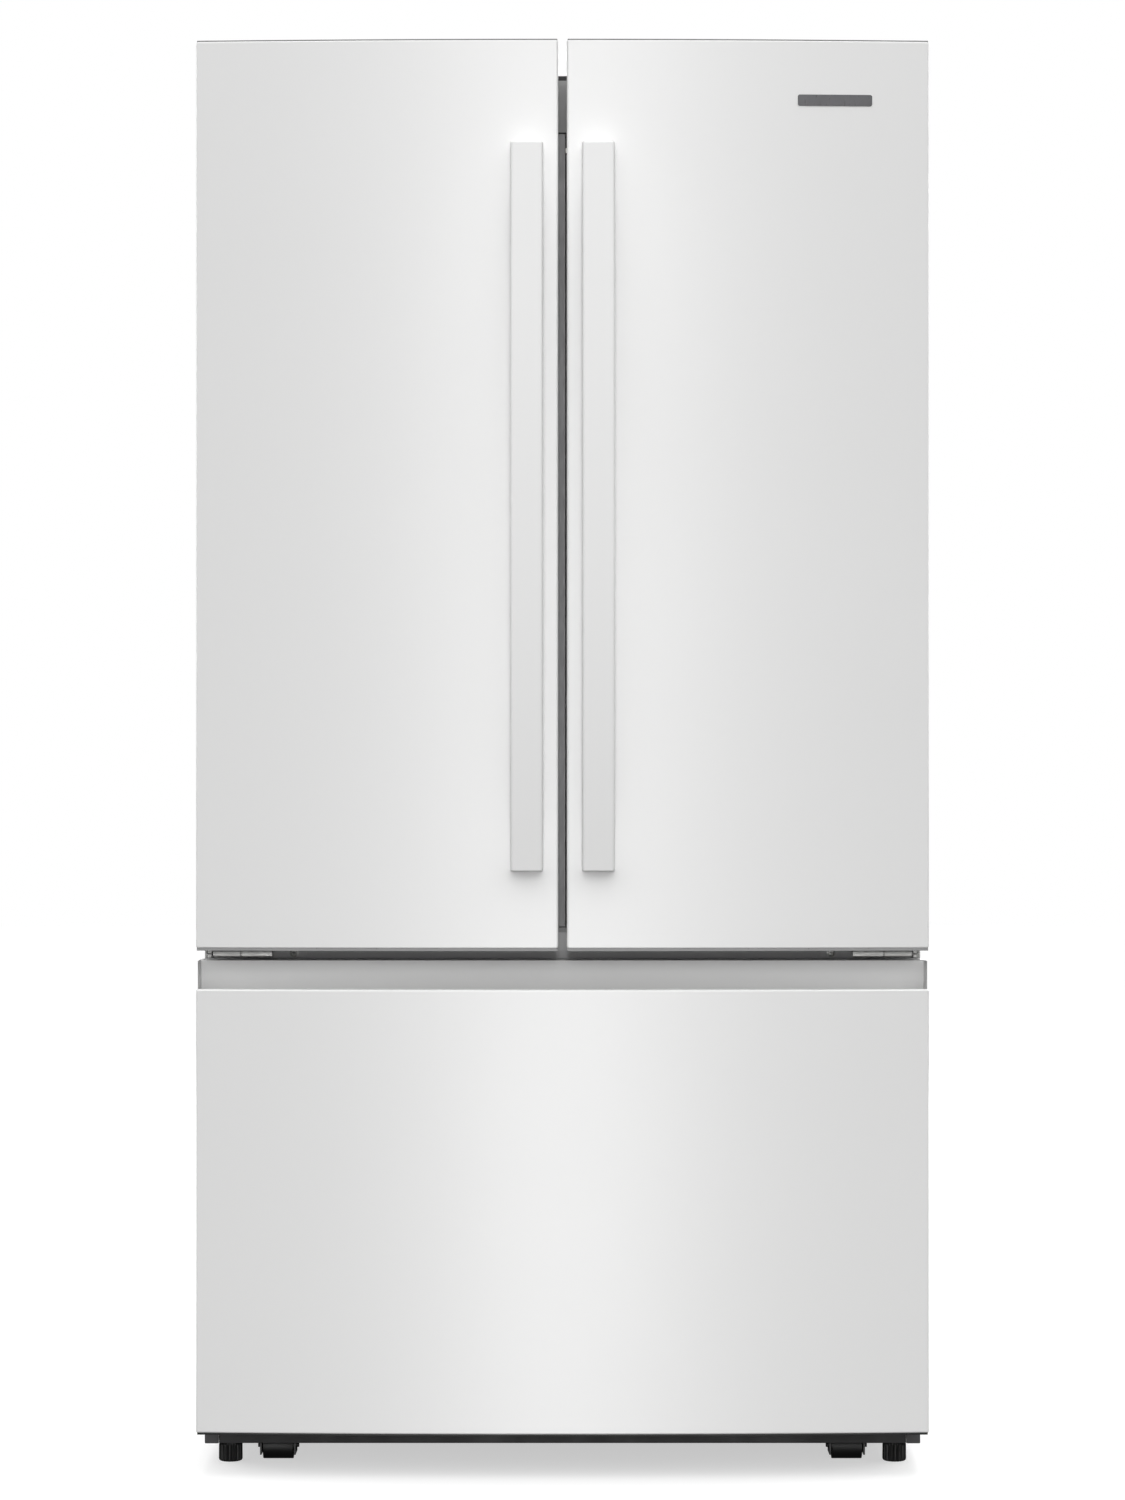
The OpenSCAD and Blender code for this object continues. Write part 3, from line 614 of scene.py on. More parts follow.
def handle(name):
    """A bowed bar: one arc in front, another behind between its two solid ends."""
    low, high = box_of(f"{name}_handle")
    half = (high.z - low.z) / 2
    mid = (high.z + low.z) / 2
    rise, thick, end_len, round_end = 28, 14, 50, 2.2
    grip, grip_half = front_y - low.y - thick, half - end_len
    outer_r = (half ** 2 + rise ** 2) / (2 * rise)
    inner_r = (grip_half ** 2 + grip ** 2) / (2 * grip)
    ends = [half - round_end * (1 - math.sin(a)) for a in quarter(5)]
    ends.append(grip_half + 1)
    arc = [grip_half * 2 * i / 70 - grip_half for i in range(71)]
    rings = []
    for s in sorted([-e for e in ends] + ends + arc):
        out_y = low.y + outer_r - math.sqrt(outer_r ** 2 - s ** 2)
        in_y = front_y
        if abs(s) < grip_half:
            in_y += inner_r - grip - math.sqrt(inner_r ** 2 - s ** 2)
        over = max(0.0, abs(s) - (half - round_end)) / round_end
        inset = round_end * (1 - math.sqrt(max(0.0, 1 - over ** 2)))
        radii = [max(3.6 - inset, 1.2)] * 2 + [1.6] * 2
        flat = corners(shrunk((low.x, high.x), inset), (out_y + inset, in_y + 0.15), radii, 8, 5)
        rings.append(ring_at(flat, "Z", mid + s))
    lofted(rings).done(f"{name}_handle_bar", "white_handle", f"{name}_handle", angle=50)


handle("left")
handle("right")


# ---- Finger pocket over the drawer ----

def finger_pocket():
    """A channel with a round floor and a leaning back, closed at both ends by a small fillet."""
    low, high = box_of("drawer_pocket")
    wall = lip_back + 2.7
    floor = low.z + 10
    back = edge_y + 36
    scoop, lean, fillet, edge = 9, 5, 2.5, 0.8
    lip_top = drawer_high.z - 1
    rise = high.z - floor - scoop
    channel = [(wall, lip_top), (wall, floor + 3), (wall + 1, floor + 1), (wall + 3, floor)]
    channel += [(back - scoop + scoop * math.sin(a), floor + scoop - scoop * math.cos(a)) for a in quarter(8)]
    channel += [(back - lean * t * t, floor + scoop + rise * t) for t in [i / 8 for i in range(1, 8)]]
    top_y = back - lean
    channel += [(top_y + 0.1, high.z - edge), (top_y + edge, high.z)]
    outside = [(high.y, high.z), (high.y, low.z), (low.y, low.z), (low.y, lip_top)]
    stops = [high.x - fillet * (1 - math.sin(a)) for a in quarter(10)]
    inner = [(high.x - fillet) * (-1 + 2 * i / 44) for i in range(1, 44)]
    front = low.y + 0.6
    rings = []
    for x in sorted([-e for e in stops] + inner + stops):
        over = max(0.0, abs(x) - (high.x - fillet)) / fillet
        keep = math.sqrt(max(0.0, 1 - over ** 2))
        inside = [(front + (y - front) * keep if y > front else y, z) for y, z in channel]
        rings.append(ring_at(inside + outside, "X", x))
    # The pocket's material is darker than the drawer's white as painted shade from the door overhead.
    lofted(rings).done("drawer_finger_pocket", "pocket_shaded_white", "drawer_pocket", angle=50)


finger_pocket()


# ---- Badge ----

def badge_plate():
    """A blank plate that follows the crown, with a small chamfer."""
    x, _, z = limits("badge")
    rings = []
    for behind, inset in ((-0.05, 0), (-0.6, 0), (-0.8, 0.06), (-0.9, 0.25)):
        flat = corners(shrunk(x, inset), shrunk(z, inset), 2.5 - inset, 16, 6)
        rings.append([Vector((u, crown_y(u) + behind, v)) for u, v in flat])
    lofted(rings).done("blank_badge", "badge_metal", "badge", angle=50)


badge_plate()

# ---- Centre hinges and the hinge screws ----

plate_top = 649.2               # upper face of the centre hinges
plate_t = 3
lip_foot = 640.6                # lower end of their folded front lips


def center_hinge(side, name):
    """A folded plate in two lengths with the door's pin, its backing plate and the pin's nuts."""
    lip_y = box_of("center_hinges")[0].y
    foot_y = cab_front - 1
    pin = side * 440, -330
    lip = [(2, plate_top), (0.6, plate_top - 0.6), (0, plate_top - 2), (-0.3, lip_foot + 1.6),
           (0.4, lip_foot + 0.3), (1.4, lip_foot), (2.4, lip_foot + 0.8), (2.6, plate_top - plate_t)]
    profile = [(foot_y, plate_top)] + [(lip_y + y, z) for y, z in lip] + [(foot_y, plate_top - plate_t)]
    plate = Shape()
    for a, b in ((361, 399.7), (400.3, 435)):
        plate.prism(profile, "X", *span(side, a, b))
    plate.rod(pin, 5, "Z", plate_top - 1, plate_top + 20)
    node = "center_hinges" if side < 0 else None
    plate.done(f"center_hinge_plate_{name}", "zinc_steel", node, 0.3)
    back = Shape().slab(span(side, 322, 446), (637.8, 651.2), 2, "Y", cab_front - 3.2, cab_front - 0.2)
    back.done(f"center_hinge_back_{name}", "bar_enamel", bevel=0.4)
    nut = Shape()
    for z in ((638.8, 643.6), (644.4, plate_top + 0.8)):
        nut.rod(pin, 5.35, "Z", *z, sides=6)
    nut.done(f"center_hinge_nut_{name}", "dark_zinc", bevel=0.5, angle=25)


def screw(heads, shade_crosses, centre, axis, sign, r):
    """A flanged pan head of radius r, its cross recess drawn as black bars set into the head as painted shade;
    sign is the way it points along axis.
    """
    profile = [(0.2, 0), (r, 0), (r, 0.9), (0.72 * r, 1.1), (0.7 * r, 2.2), (0.55 * r, 2.8), (0.2, 3)]
    heads.lathe([(radius, sign * h) for radius, h in profile], centre, axis, 32)
    c = Vector(centre)
    arm, half = 0.42 * r, 0.09 * r
    head = sorted((sign * 2.6, sign * 3.06))
    for w, h in ((arm, half), (half, arm)):
        x = (c.x - w, c.x + w)
        if axis == "Y":
            shade_crosses.box(x, (c.y + head[0], c.y + head[1]), (c.z - h, c.z + h))
        else:
            shade_crosses.box(x, (c.y - h, c.y + h), (c.z + head[0], c.z + head[1]))


def hinge_screws():
    """One screw beside each centre hinge and four on each top hinge."""
    heads, shade_crosses = Shape(), Shape()
    for side, _ in SIDES:
        screw(heads, shade_crosses, (side * 337, cab_front - 3.3, 643.4), "Y", -1, 5.5)
        for x in (430, 388):
            for y in (36, 80):
                centre = (side * x, cab_front + y, cab_top + 3.2)
                screw(heads, shade_crosses, centre, "Z", 1, 5.8)
    heads.done("hinge_screw_heads", "dark_zinc", "hinge_screws", angle=30)
    # Black crosses on the heads: painted shade for the cross recesses, which are not cut.
    shade_crosses.done("hinge_screw_recess_shades", "black_plastic")


for side, name in SIDES:
    center_hinge(side, name)
hinge_screws()

# ---- Gap between the doors: folding bar and the faces behind it ----

knuckle_z = (760, 1160, 1560)   # the folding bar's three pins
bar_pin = (-41, -312)           # and their axis


def folding_bar():
    """The bar's body, its steel face and its knuckles with their pins."""
    x, z = (-44, box_of("flip_mullion")[1].x), (675.6, 1673)
    front, back = cab_front + 1.5, cab_front + 20
    rings = []
    for y, inset in ((back, 1.5), (back - 1, 0.3), (back - 2, 0), (front + 1, 0),
                     (front + 0.3, 0.2), (front, 0.5)):
        flat = corners(shrunk(x, inset), shrunk(z, inset), 1.2, 8, 6)
        rings.append(ring_at(flat, "Y", y))
    lofted(rings).done("folding_bar", "bar_grey", "flip_mullion", angle=40)
    steel = Shape().slab((x[0] + 1, x[1] - 0.5), shrunk(z, 1.2), 0.8, "Y", front - 0.35, front + 0.2)
    steel.done("folding_bar_plate", "bar_plate", bevel=0.15, body="mullion")
    knuckles = Shape()
    for z in knuckle_z:
        knuckles.rod(bar_pin, 3, "Z", z - 15, z + 15, 24)
        knuckles.box((-43.6, -38.4), (bar_pin[1], front + 2), (z - 14.6, z + 14.6))
        knuckles.rod(bar_pin, 1.55, "Z", z - 22, z + 22, 16)
    knuckles.done("folding_bar_knuckles", "dark_plastic", bevel=0.3, body="mullion")


def gap_face(name, material, *heights):
    """Small faces of the cabinet that show through the gap, between the given heights, coloured grey or dark as
    painted shade for the white flange in shadow there.
    """
    shape = Shape()
    for low, high in heights:
        shape.slab((-11.5, 11.5), (low, high), 1, "Y", cab_front - 0.3, cab_front + 2)
    shape.done(name, material, bevel=0.2)


folding_bar()
gap_face("gap_shade_faces", "gap_shade_grey", (1673.8, 1738.6), (669, 675.2))
# A dark strip at the top of the gap: painted shade where the wrapper's front edge lies in shadow.
gap_face("gap_top_shade_strip", "dark_plastic", (1738.9, 1744.8))


# ---- Base: corner blocks of painted shade, and feet ----

def base_corners():
    # Dark grey blocks over the foot of the wrapper's white front flange: painted shade for the shadow there.
    blocks = Shape()
    for side, _ in SIDES:
        z = (cab_low.z + 0.2, 62)
        blocks.slab(span(side, 432.2, 449.3), z, 1.2, "Y", cab_front - 3, cab_front - 0.1)
    blocks.done("base_corner_shade_blocks", "corner_shade_grey", bevel=0.4)


def foot(name):
    """A ribbed levelling foot on its threaded stem."""
    low, high = box_of(f"foot_{name}")
    centre = ((low.x + high.x) / 2, (low.y + high.y) / 2)
    r = (high.x - low.x) / 2
    ribs, fine, rib_depth = 22, 6, 1.3
    rings = []
    for z, scale, groove in ((0, 0.90, 0.3), (0.8, 0.97, 0.7), (2.4, 1.0, 1), (20, 0.99, 1), (21.5, 0.965, 0.6),
                             (24.5, 0.95, 0.0), (25.4, 0.9, 0.0)):
        ring = []
        for a in turns(ribs * fine):
            reach = r * scale - rib_depth * groove * max(0.0, math.cos(ribs * a)) ** 0.6
            ring.append(Vector((centre[0] + reach * math.cos(a), centre[1] + reach * math.sin(a), z)))
        rings.append(ring)
    body = lofted(rings)
    body.rod(centre, 4, "Z", 25, high.z, 24)
    body.done(f"levelling_foot_{name}", "black_plastic", f"foot_{name}", angle=40)


base_corners()
foot("left")
foot("right")


# ---- Seals ----

def seal(name):
    """A soft bellows ring with a magnet bulb, from the door's panel to the cabinet's face."""
    x, _, z = limits(f"{name}_gasket")
    y0, y1 = door_back + 0.1, cab_front - 0.5
    profile = [(0.5, 0), (0.2, 0.1), (2.6, 0.24), (0.6, 0.4), (2.8, 0.54), (0.4, 0.66), (0, 0.82), (0.6, 0.97),
               (2, 1), (13.4, 1), (15.2, 0.95), (16, 0.8), (15.6, 0.66), (12.8, 0.56), (15.2, 0.4),
               (12.6, 0.24), (15.4, 0.1), (15.2, 0)]
    outline = [(i, y0 + f * (y1 - y0)) for i, f in profile]
    Shape().hoop(x, z, outline, 3).done(f"{name}_bellows", "seal_grey", f"{name}_gasket", angle=60)


for name in ("left_door", "right_door", "drawer"):
    seal(name)


# ---- Door liners and bins ----

bin_heights = ((704, 822), (1040, 1130), (1360, 1450))     # foot and rim of each bin


def door_liner(side, name):
    """The door's inner panel with its raised ring, and the lugs that the bins hang on."""
    x, z = span(side, 76, 396), (690, 1664)
    y0, rise, edge = door_back, 44, 1.2
    panel = Shape()
    flat = sorted((side * (half_gap + edge), side * (half_w - edge)))
    panel.slab(flat, (door_low.z + 0.4, door_high.z - 0.4), 2, "Y", y0 - 2, y0)
    profile = [(-3, 0), (-1.2, 0.02), (-0.3, 0.08), (0, 0.2), (1.2, 0.75), (2, 0.9), (3.6, 0.98), (6, 1.0),
               (8.4, 0.98), (10, 0.9), (10.8, 0.75), (12, 0.2), (13.2, 0.08), (16, 0.02), (20, 0.012)]
    outline = [(i, y0 - 0.2 + f * rise) for i, f in profile]
    outline += [(i, y0 - 0.5) for i in (20, -3)]
    panel.hoop(x, z, outline, 16)
    for height, _ in bin_heights:
        for lug_x in (x[0] + 12, x[1] - 12.4):
            lug = (lug_x - 0.6, lug_x + 0.9)
            panel.box(lug, (y0, y0 + 40), (height + 4, height + 60))
    panel.done(f"{name}_door_inner_panel", "liner_white", f"{name}_door_liner", angle=40)


def door_bins(side, name):
    bins = Shape()
    y = (door_back + 1, door_back + 111)
    for heights in bin_heights:
        bins.tub(span(side, 88.5, 383.5), y, heights, 2.5, 14, 5, 2.2)
    bins.done(f"{name}_door_bin_set", "clear_plastic", f"{name}_door_bins")


def pivot_ears():
    """The left door's ears over and under each knuckle of the folding bar."""
    ears = Shape()
    radii = [0.6] * 2 + [3] * 2
    for z in knuckle_z:
        for low in (z - 23.2, z + 15.2):
            ears.slab((-45, -37.5), (door_back - 0.5, -308.8), radii, "Z", low, low + 8)
    ears.done("folding_bar_ears", "liner_white", bevel=0.4, body="left_door")


for side, name in SIDES:
    door_liner(side, name)
    door_bins(side, name)
pivot_ears()

# ---- Cabinet shell, liner and back ----

def wrapper():
    """The folded outer sheet: two sides, the top and the narrow return round the front opening."""
    x, top, r = half_cab, cab_top, 3
    sheet, flange = 1.2, 18

    def arch(inset):
        bend = max(r - inset, 0.8)
        left = [(-x + inset, cab_low.z)]
        for a in quarter(6):
            left.append((-x + inset + bend * (1 - math.cos(a)), top - inset - bend * (1 - math.sin(a))))
        return left + [(-u, v) for u, v in left[::-1]]

    shell = Shape().prism(arch(0) + arch(sheet)[::-1], "Y", cab_front + 0.4, back_y - sheet)
    shell.prism(arch(0.4) + arch(flange)[::-1], "Y", cab_front, cab_front + sheet)
    shell.done("cabinet_sheet", "cabinet_white", "cabinet_wrapper", 0.5, 3)


def fresh_liner():
    """The vacuum-formed inside of the fresh food compartment, with its flange."""
    flange = limits("fridge_liner")[::2]
    x, z = (-liner_half_x, liner_half_x), (674, 1690)
    fillet = 12

    def level(inset, y, r, px=x, pz=z):
        """A ring of corner radius r at y."""
        flat = corners(shrunk(px, inset), shrunk(pz, inset), r, 8, 6)
        return ring_at(flat, "Y", y)

    rows = [level(8, liner_back + liner_t, 6), level(-2, liner_back - 6, 10)]
    for inset, y, r, outline in ((-2, 3, 10, ()), (0, 1.4, 1.5, flange), (0, 0.3, 1.5, flange),
                                 (0.3, 0, 1.2, flange), (-0.6, 0, 9, ()), (-0.1, 0.5, 8.5, ()), (0, 2, 8, ())):
        rows.append(level(inset, cab_front + y, r, *outline))
    for a in quarter(6):
        rows.append(level(fillet * (1 - math.cos(a)), liner_back - fillet * (1 - math.sin(a)), 8))
    lofted(rows).done("fresh_food_liner", "liner_white", "fridge_liner", angle=40)


def liner_ledges():
    """The ledges that carry the crisper cover, and the runners under the crispers."""
    ledges = Shape()
    for side, _ in SIDES:
        ledges.slab(span(side, 404, 398), (940, 949.8), 2, "Y", -170, 330)
        for edge in (404.3, 110):
            radii = [0.5] * 2 + [2] * 2
            ledges.slab(span(side, edge, edge - 22), (673, 677.8), radii, "Y", -160, 300)
    ledges.done("liner_ledges", "liner_white", bevel=0.6)


def back_sheet():
    """The back with its pressed panels and the side strips down beside the machine cover."""
    x, y, z = limits("back_panel")
    foot_z = box_of("machine_cover")[1].z + 0.2
    sheet = Shape().slab(shrunk(x, 0.5), (foot_z, z[1] - 0.5), 3, "Y", y[0], back_y - 0.4)
    profile = [(0, -0.5), (1.5, -0.3), (4, 0), (9, 0), (11.5, -0.3), (13, -0.5), (13, -0.7), (0, -0.7)]
    bead = [(i, back_y + d) for i, d in profile]
    for panel_x in ((-420, -20), (20, 420)):
        for z in range(320, 1521, 200):
            sheet.hoop(panel_x, (z, z + 172), bead, 26)
    for side, _ in SIDES:
        sheet.slab(span(side, 443, 451), (50, foot_z), 1, "Y", back_y - 3.2, back_y - 1.5)
    sheet.done("back_sheet", "galvanised", "back_panel", angle=30)


def back_screws():
    heads = Shape()
    profile = [(0.2, -0.6), (4.2, -0.6), (4.2, 0.3), (3, 1.2), (0.2, 1.6)]
    panel = [(x, z) for z in (306, 560, 812, 1064, 1316, 1568, 1732) for x in (-437, 0, 437)]
    cover = [(x, z) for z in (66, 268) for x in (-436, -218, 0, 218, 436)]
    for x, z in panel + cover:
        heads.lathe(profile, (x, back_y, z), "Y", 20)
    heads.done("back_screw_heads", "screw_steel", angle=30)


wrapper()
fresh_liner()
liner_ledges()
back_sheet()
back_screws()


# ---- Freezer compartment ----

def freezer_shell():
    """The freezer's lining, stepped over the machine bay, with its flange."""
    r, step_y, foot_z, sill_z, step_z, top_z = 12, 215, 62, 95, 325, 614
    flange_y = (cab_front, cab_front + 1.4)

    def path(out):
        """The wall's outline seen from the side, out mm outside the lining's inner face."""
        wide = max(r + out, 1)
        tight = max(r - out, 1)
        floor, ledge, roof = sill_z - out, step_z - out, top_z + out
        riser, back = step_y + out, liner_back + out
        front = cab_front + 0.4
        points = [(front, floor)]
        for y, z, bend, start, way in ((riser - wide, floor + wide, wide, -90, 1),
                                       (riser + tight, ledge - tight, tight, 180, -1),
                                       (back - wide, ledge + wide, wide, -90, 1),
                                       (back - wide, roof - wide, wide, 0, 1)):
            for a in quarter(6):
                turn = math.radians(start) + way * a
                points.append((y + bend * math.cos(turn), z + bend * math.sin(turn)))
        return points + [(front, roof)]

    side_x = liner_half_x + liner_t
    shell = Shape().prism(path(0) + path(liner_t)[::-1], "X", -side_x, side_x)
    for side, _ in SIDES:
        shell.prism(path(0.2), "X", *sorted((side * liner_half_x, side * side_x)))
        shell.slab(span(side, 403.5, 434.4), (foot_z, top_z + liner_t), 1, "Y", *flange_y)
    shell.slab((-liner_half_x, liner_half_x), (foot_z, sill_z), 0.6, "Y", *flange_y)
    shell.done("freezer_lining", "liner_white", "freezer_liner", angle=40)


freezer_shell()


# ---- Machine bay ----

def bent(points, r):
    """The points of a path with its corners rounded off."""
    nodes = [Vector(p) for p in points]
    out = [nodes[0]]
    for a, b, c in zip(nodes, nodes[1:], nodes[2:]):
        u, v = (a - b).normalized() * r, (c - b).normalized() * r
        for i in range(7):
            t = i / 6
            out.append((b + u) * (1 - t) ** 2 + b * 2 * t * (1 - t) + (b + v) * t * t)
    return out + [nodes[-1]]


def pipe(shape, points, radius, r=12):
    """A tube of the given radius along a path, bent at radius r."""
    path = bent(points, r)
    normal = (path[1] - path[0]).orthogonal()
    rings = []
    for i, p in enumerate(path):
        ahead = (path[min(i + 1, len(path) - 1)] - path[max(i - 1, 0)]).normalized()
        normal = (normal - ahead * normal.dot(ahead)).normalized()
        side = ahead.cross(normal)
        rings.append([p + (normal * math.cos(a) + side * math.sin(a)) * radius for a in turns(14)])
    shape.loft(rings)


def compressor_can():
    """The welded can with its seam and dome, on its two-layer foot plate."""
    base, r = 47, 76                # underside of the can's bowl, and its radius
    top = box_of("compressor")[1].z - base
    dome = top - 57
    profile = [(40, 25.5), (54, 26), (58, 28), (58, 44), (66, 46.5), (72, 50), (75, 55), (76, 62), (76, 76),
               (75.2, 78), (76.6, 79), (78, 79.6), (78, 84), (76.6, 84.8), (75.2, 86)]
    for i in range(1, 13):
        a = math.radians(i * 6.6)
        profile.append((r * math.cos(a), dome + (top - dome) * math.sin(a)))
    outline = [(p, base + min(h, top - 0.2)) for p, h in profile]
    can = Shape().lathe(outline + [(0.5, base + top - 0.1)], (-250, 350, 0), "Z", 56)
    can.slab((-334, -166), (278, 422), 16, "Z", 69, 72)
    can.slab((-331, -169), (281, 419), 14, "Z", 72, 74)
    can.done("compressor_can", "black_enamel", "compressor", 0.5)


def compressor_mounts():
    """Four rubber grommets with their bolts, and the cover of the terminals."""
    feet, bolts = Shape(), Shape()
    grommet = [(3, 47.2), (11, 47.2), (11, 51), (8, 53), (8, 56), (11, 58), (11, 68.8), (3, 68.8)]
    bolt = [(0.3, 71), (9, 74), (9, 75.4), (5, 75.6), (5, 79.5), (0.3, 80)]
    for x in (-320, -180):
        for y in (290, 410):
            feet.lathe(grommet, (x, y, 0), "Z", 28)
            bolts.lathe(bolt, (x, y, 0), "Z", 6)
    feet.done("compressor_grommets", "black_plastic")
    bolts.done("compressor_bolts", "screw_steel", bevel=0.4)
    box = Shape().slab((-282, -222), (92, 142), 8, "Y", 418, 438)
    box.done("terminal_cover", "dark_plastic", bevel=3, steps=3)


def refrigerant_lines():
    """Discharge line to the condenser, suction line to the ceiling and the sealed process stub."""
    lines = Shape()
    discharge = [(-184, 380, 120), (-160, 392, 120), (-160, 420, 264), (14, 420, 264), (14, 408, 238),
                 (24, 400, 236)]
    suction = [(-318, 380, 112), (-344, 392, 112), (-344, 410, 200), (-380, 410, 240), (-380, 410, 276)]
    stub = [(-316, 326, 104), (-352, 318, 104), (-352, 318, 138)]
    for points, radius in ((discharge, 3.2), (suction, 4), (stub, 3.2)):
        pipe(lines, points, radius)
    lines.done("refrigerant_lines", "copper_tube")


def slot_frames():
    """Pressed rims round the machine cover's air slots."""
    cover_y = box_of("machine_cover")[1].y
    rims = Shape()
    profile = [(0, -0.4), (0.4, 0.3), (1.4, 0.7), (2.6, 0.7), (3.4, 0.3), (3.6, -0.4)]
    outline = [(i, cover_y + d) for i, d in profile]
    for k in range(12):
        x = -399.4 + k * 68
        for z in (86.6, 166.6):
            rims.hoop((x, x + 50.8), (z, z + 56.8), outline, 6)
    rims.done("air_slot_rims", "galvanised", angle=50)


def bay_lining():
    """Sheet that lines the bay's front wall and ceiling, hiding the foam."""
    y, top, bend, sheet_t, foot_z = 257.4, 282.4, 14, 0.8, 63

    def path(inset):
        r, wall, roof = bend - inset, y + inset, top - inset
        arc = [(wall + r - r * math.cos(a), roof - r + r * math.sin(a)) for a in quarter(6)]
        return [(wall, foot_z)] + arc + [(back_y - 4, roof)]

    sheet = Shape().prism(path(0) + path(sheet_t)[::-1], "X", -half_cab + 2, half_cab - 2)
    sheet.done("machine_bay_lining", "galvanised", angle=40)


compressor_can()
compressor_mounts()
refrigerant_lines()
slot_frames()
bay_lining()


# ---- Top hinge covers ----

def hinge_cover(side, name):
    """A hollow moulded cover over a top hinge, with its tongue over the door's pin and its screw plug."""
    top, foot_z = box_of("hinge_covers")[1].z, cab_top + 0.2
    x = span(side, 449, 366)
    y = (cab_front + 6.5, cab_front + 108)
    edge, wall = 3.5, 2

    def level(inset, z):
        flat = corners(shrunk(x, inset), shrunk(y, inset), max(9 - inset, 2), 6, 6)
        return ring_at(flat, "Z", z)

    rows = [level(edge * (1 - math.sin(a)), top - edge * (1 - math.cos(a))) for a in quarter(6)]
    rows += [level(0, foot_z), level(wall, foot_z), level(wall, top - edge), level(wall + edge, top - wall)]
    cover = lofted(rows)
    tongue = corners(span(side, 449.4, 392), (-344, -283), 7, 6, 6)
    cover.prism(tongue, "Z", top - 1.8, top - 0.05)
    cover.done(f"hinge_cover_{name}", "white_trim", "hinge_covers" if side < 0 else None)
    profile = [(0.3, -0.5), (6.5, -0.5), (6.5, 0.5), (6, 0.9), (4.4, 0.9), (3.8, 0.3), (0.3, 0.3)]
    plug = Shape().lathe(profile, (side * 408, -226, top), "Z", 32)
    plug.done(f"hinge_cover_plug_{name}", "grey_plastic", angle=30)


for side, name in SIDES:
    hinge_cover(side, name)


# ---- Shelves and crispers ----

def shelf(frames, panes, trims, x, y, z):
    """A frame with its glass let in, and a bright strip along its front."""
    rim = [(0, 3), (0, 17), (0.8, 19.2), (2.5, 20), (5, 20), (6, 19.2), (6.2, 18.4), (6.3, 14), (12, 14),
           (12, 2), (11, 0.6), (3, 0), (0.8, 0.8)]
    frames.hoop(x, y, [(i, z + t) for i, t in rim], 7, "Z")
    panes.slab(shrunk(x, 6.5), shrunk(y, 6.5), 3, "Z", z + 14.2, z + 18.2)
    front = (y[0] - 0.6, y[0] + 2)
    trims.slab(front, (z + 3, z + 17), 1, "X", *shrunk(x, 10))


def shelves():
    """Four half shelves on their arms, and the crisper cover on its middle support."""
    frames, panes, trims = Shape(), Shape(), Shape()
    for side, z in ((-1, 1240), (-1, 1465), (1, 1190), (1, 1430)):
        shelf(frames, panes, trims, span(side, 398, 7), (-175, 352), z)
        arm = [(y, z + d) for y, d in ((222, -5), (379.6, -28), (379.6, 2), (222, 2))]
        for edge in (388, 86):
            frames.prism(arm, "X", *span(side, edge, edge - 3))
    shelf(frames, panes, trims, (-402, 402), (-175, 340), 950)
    frames.slab((-5, 5), (-160, 330), 3, "Z", 674.2, 963)
    frames.done("shelf_rims", "white_trim", "shelf_frames")
    glass = panes.done("shelf_panes", "shelf_glass", "shelf_glass")
    glass.data.materials.append(materials["glass_edge"])
    for face in glass.data.polygons:
        face.material_index = 0 if abs(face.normal.z) > 0.5 else 1
    trims.done("shelf_front_trims", "bare_aluminium", bevel=0.3)


def crisper(side, name):
    """A clear box with a hooked grip along its front."""
    box = Shape().tub(span(side, 396, 8), (-172, 300), (678, 936), 3, 14, 6, 3, 8)
    box.done(f"crisper_box_{name}", "crisper_clear", f"crisper_{name}")
    profile = [(-168, 902), (-176, 902), (-180, 903.5), (-182, 907), (-182, 917), (-180.5, 920.5), (-177, 922),
               (-168, 922), (-168, 919), (-177, 919), (-179, 916), (-179, 908), (-177, 905), (-168, 905)]
    grip = Shape().prism(profile, "X", *span(side, 330, 74))
    grip.done(f"crisper_grip_{name}", "white_trim", bevel=0.4, angle=60, body=f"crisper_drawer_{name}")


shelves()
for side, name in SIDES:
    crisper(side, name)


# ---- Ceiling panel's lamp and pads ----

def ceiling_panel():
    foot_z = box_of("control_panel")[0].z
    lens = Shape().slab((-119, 119), (-164, -126), 4, "Z", foot_z + 0.6, foot_z + 2.9)
    lens.done("lamp_lens_pane", "lamp_lens", bevel=0.4)
    pads = Shape()
    for x in (-112, -84, -56, 56, 84, 112):
        profile = [(0.2, -0.7), (5, -0.6), (6, 0), (6, 0.4)]
        pads.lathe(profile, (x, -196, foot_z), "Z", 28)
    pads.done("control_pads", "dark_plastic", angle=30)


ceiling_panel()


# ---- Freezer drawer inside ----

def drawer_inner():
    """The drawer's inner panel with its raised field."""
    x, y, z = limits("drawer_liner")
    panel = Shape().slab(x, z, 3, "Y", y[0], door_back)
    rows = []
    field = ((-9, -0.2), (-5, 0.3), (-2, 1.6), (0, 4.5), (1, 12), (2, 16), (4, 20), (7.5, 23), (12, 24))
    for inset, y in field:
        flat = corners((inset - 380, 380 - inset), (112 + inset, 590 - inset), 24, 8, 6)
        rows.append(ring_at(flat, "Y", door_back + y))
    panel.loft(rows)
    panel.done("drawer_inner_panel", "liner_white", "drawer_liner", angle=40)


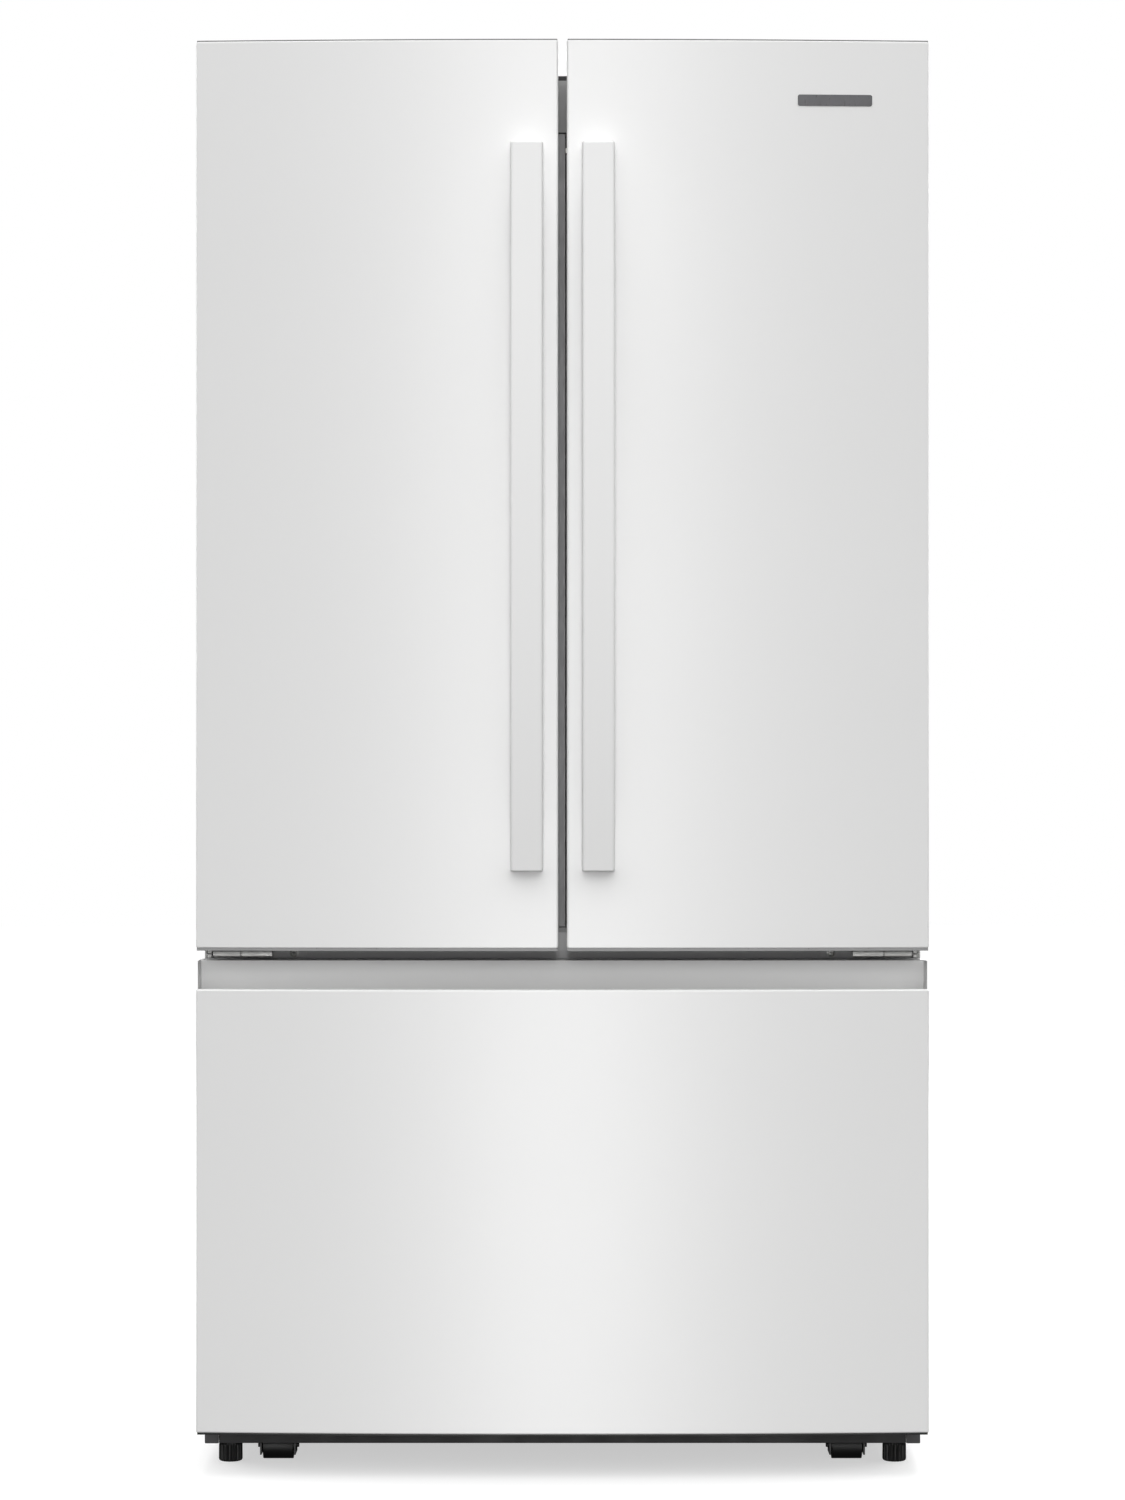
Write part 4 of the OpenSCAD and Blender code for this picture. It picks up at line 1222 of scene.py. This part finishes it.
def basket():
    """The deep basket, with a flange on each rail and ribs in its floor."""
    body = Shape().tub((-386, 386), (-284, 190), (112, 330), 3, 18, 7, 4, 10)
    rail_z = box_of("middle_rails")[1].z + 0.2
    for side, _ in SIDES:
        body.slab(span(side, 394.4, 384), (rail_z, rail_z + 5), 1, "Y", -266, 150)
    for x in (-200, 0, 200):
        body.slab((x - 1.5, x + 1.5), (-272, 178), 1, "Z", 114, 122)
    body.done("freezer_basket_tub", "white_trim", "freezer_basket")


def tray():
    """The shallow upper tray, with a runner along each side."""
    body = Shape().tub((-384, 384), (-280, 170), (400, 490), 3, 14, 6, 4, 8)
    for side, _ in SIDES:
        body.slab(span(side, 401.4, 378), (393.2, 400), 1, "Y", -276, 166)
    body.done("freezer_tray_tub", "clear_plastic", "freezer_tray")


drawer_inner()
basket()
tray()

# ---- CAD solids that keep their shape: material and edge radius in mm ----

kept = {
    "insulation_foam": ("foam_core", 0), "center_crossbar": ("bar_enamel", 0),
    "mullion_guide": ("grey_plastic", 0.8), "base_frame": ("dark_enamel", 0),
    "base_grille": ("dark_plastic", 0.5), "machine_cover": ("galvanised", 0),
    "condenser_coil": ("black_enamel", 0), "condenser_fan": ("fan_grey", 0.5),
    "fan_motor": ("dark_enamel", 0.8), "drain_pan": ("dark_plastic", 0.6),
    "evaporator_coil": ("bare_aluminium", 0), "evaporator_cover": ("liner_white", 0.6),
    "air_tower": ("liner_white", 2), "control_panel": ("grey_plastic", 1.2),
    "shelf_tracks": ("zinc_steel", 0), "top_hinges": ("zinc_steel", 0.4),
    "freezer_rails": ("zinc_steel", 0.3), "middle_rails": ("zinc_steel", 0.3),
    "inner_rails": ("zinc_steel", 0.3), "drawer_foam": ("foam_core", 0),
}
for _, name in SIDES:
    kept[f"front_roller_{name}"] = kept[f"rear_roller_{name}"] = ("black_plastic", 0.6)
    kept[f"{name}_door_caps"] = ("cap_grey", 0.5)
    kept[f"{name}_door_foam"] = ("foam_core", 0)
for node, (material, radius) in kept.items():
    refine(node, material, radius)
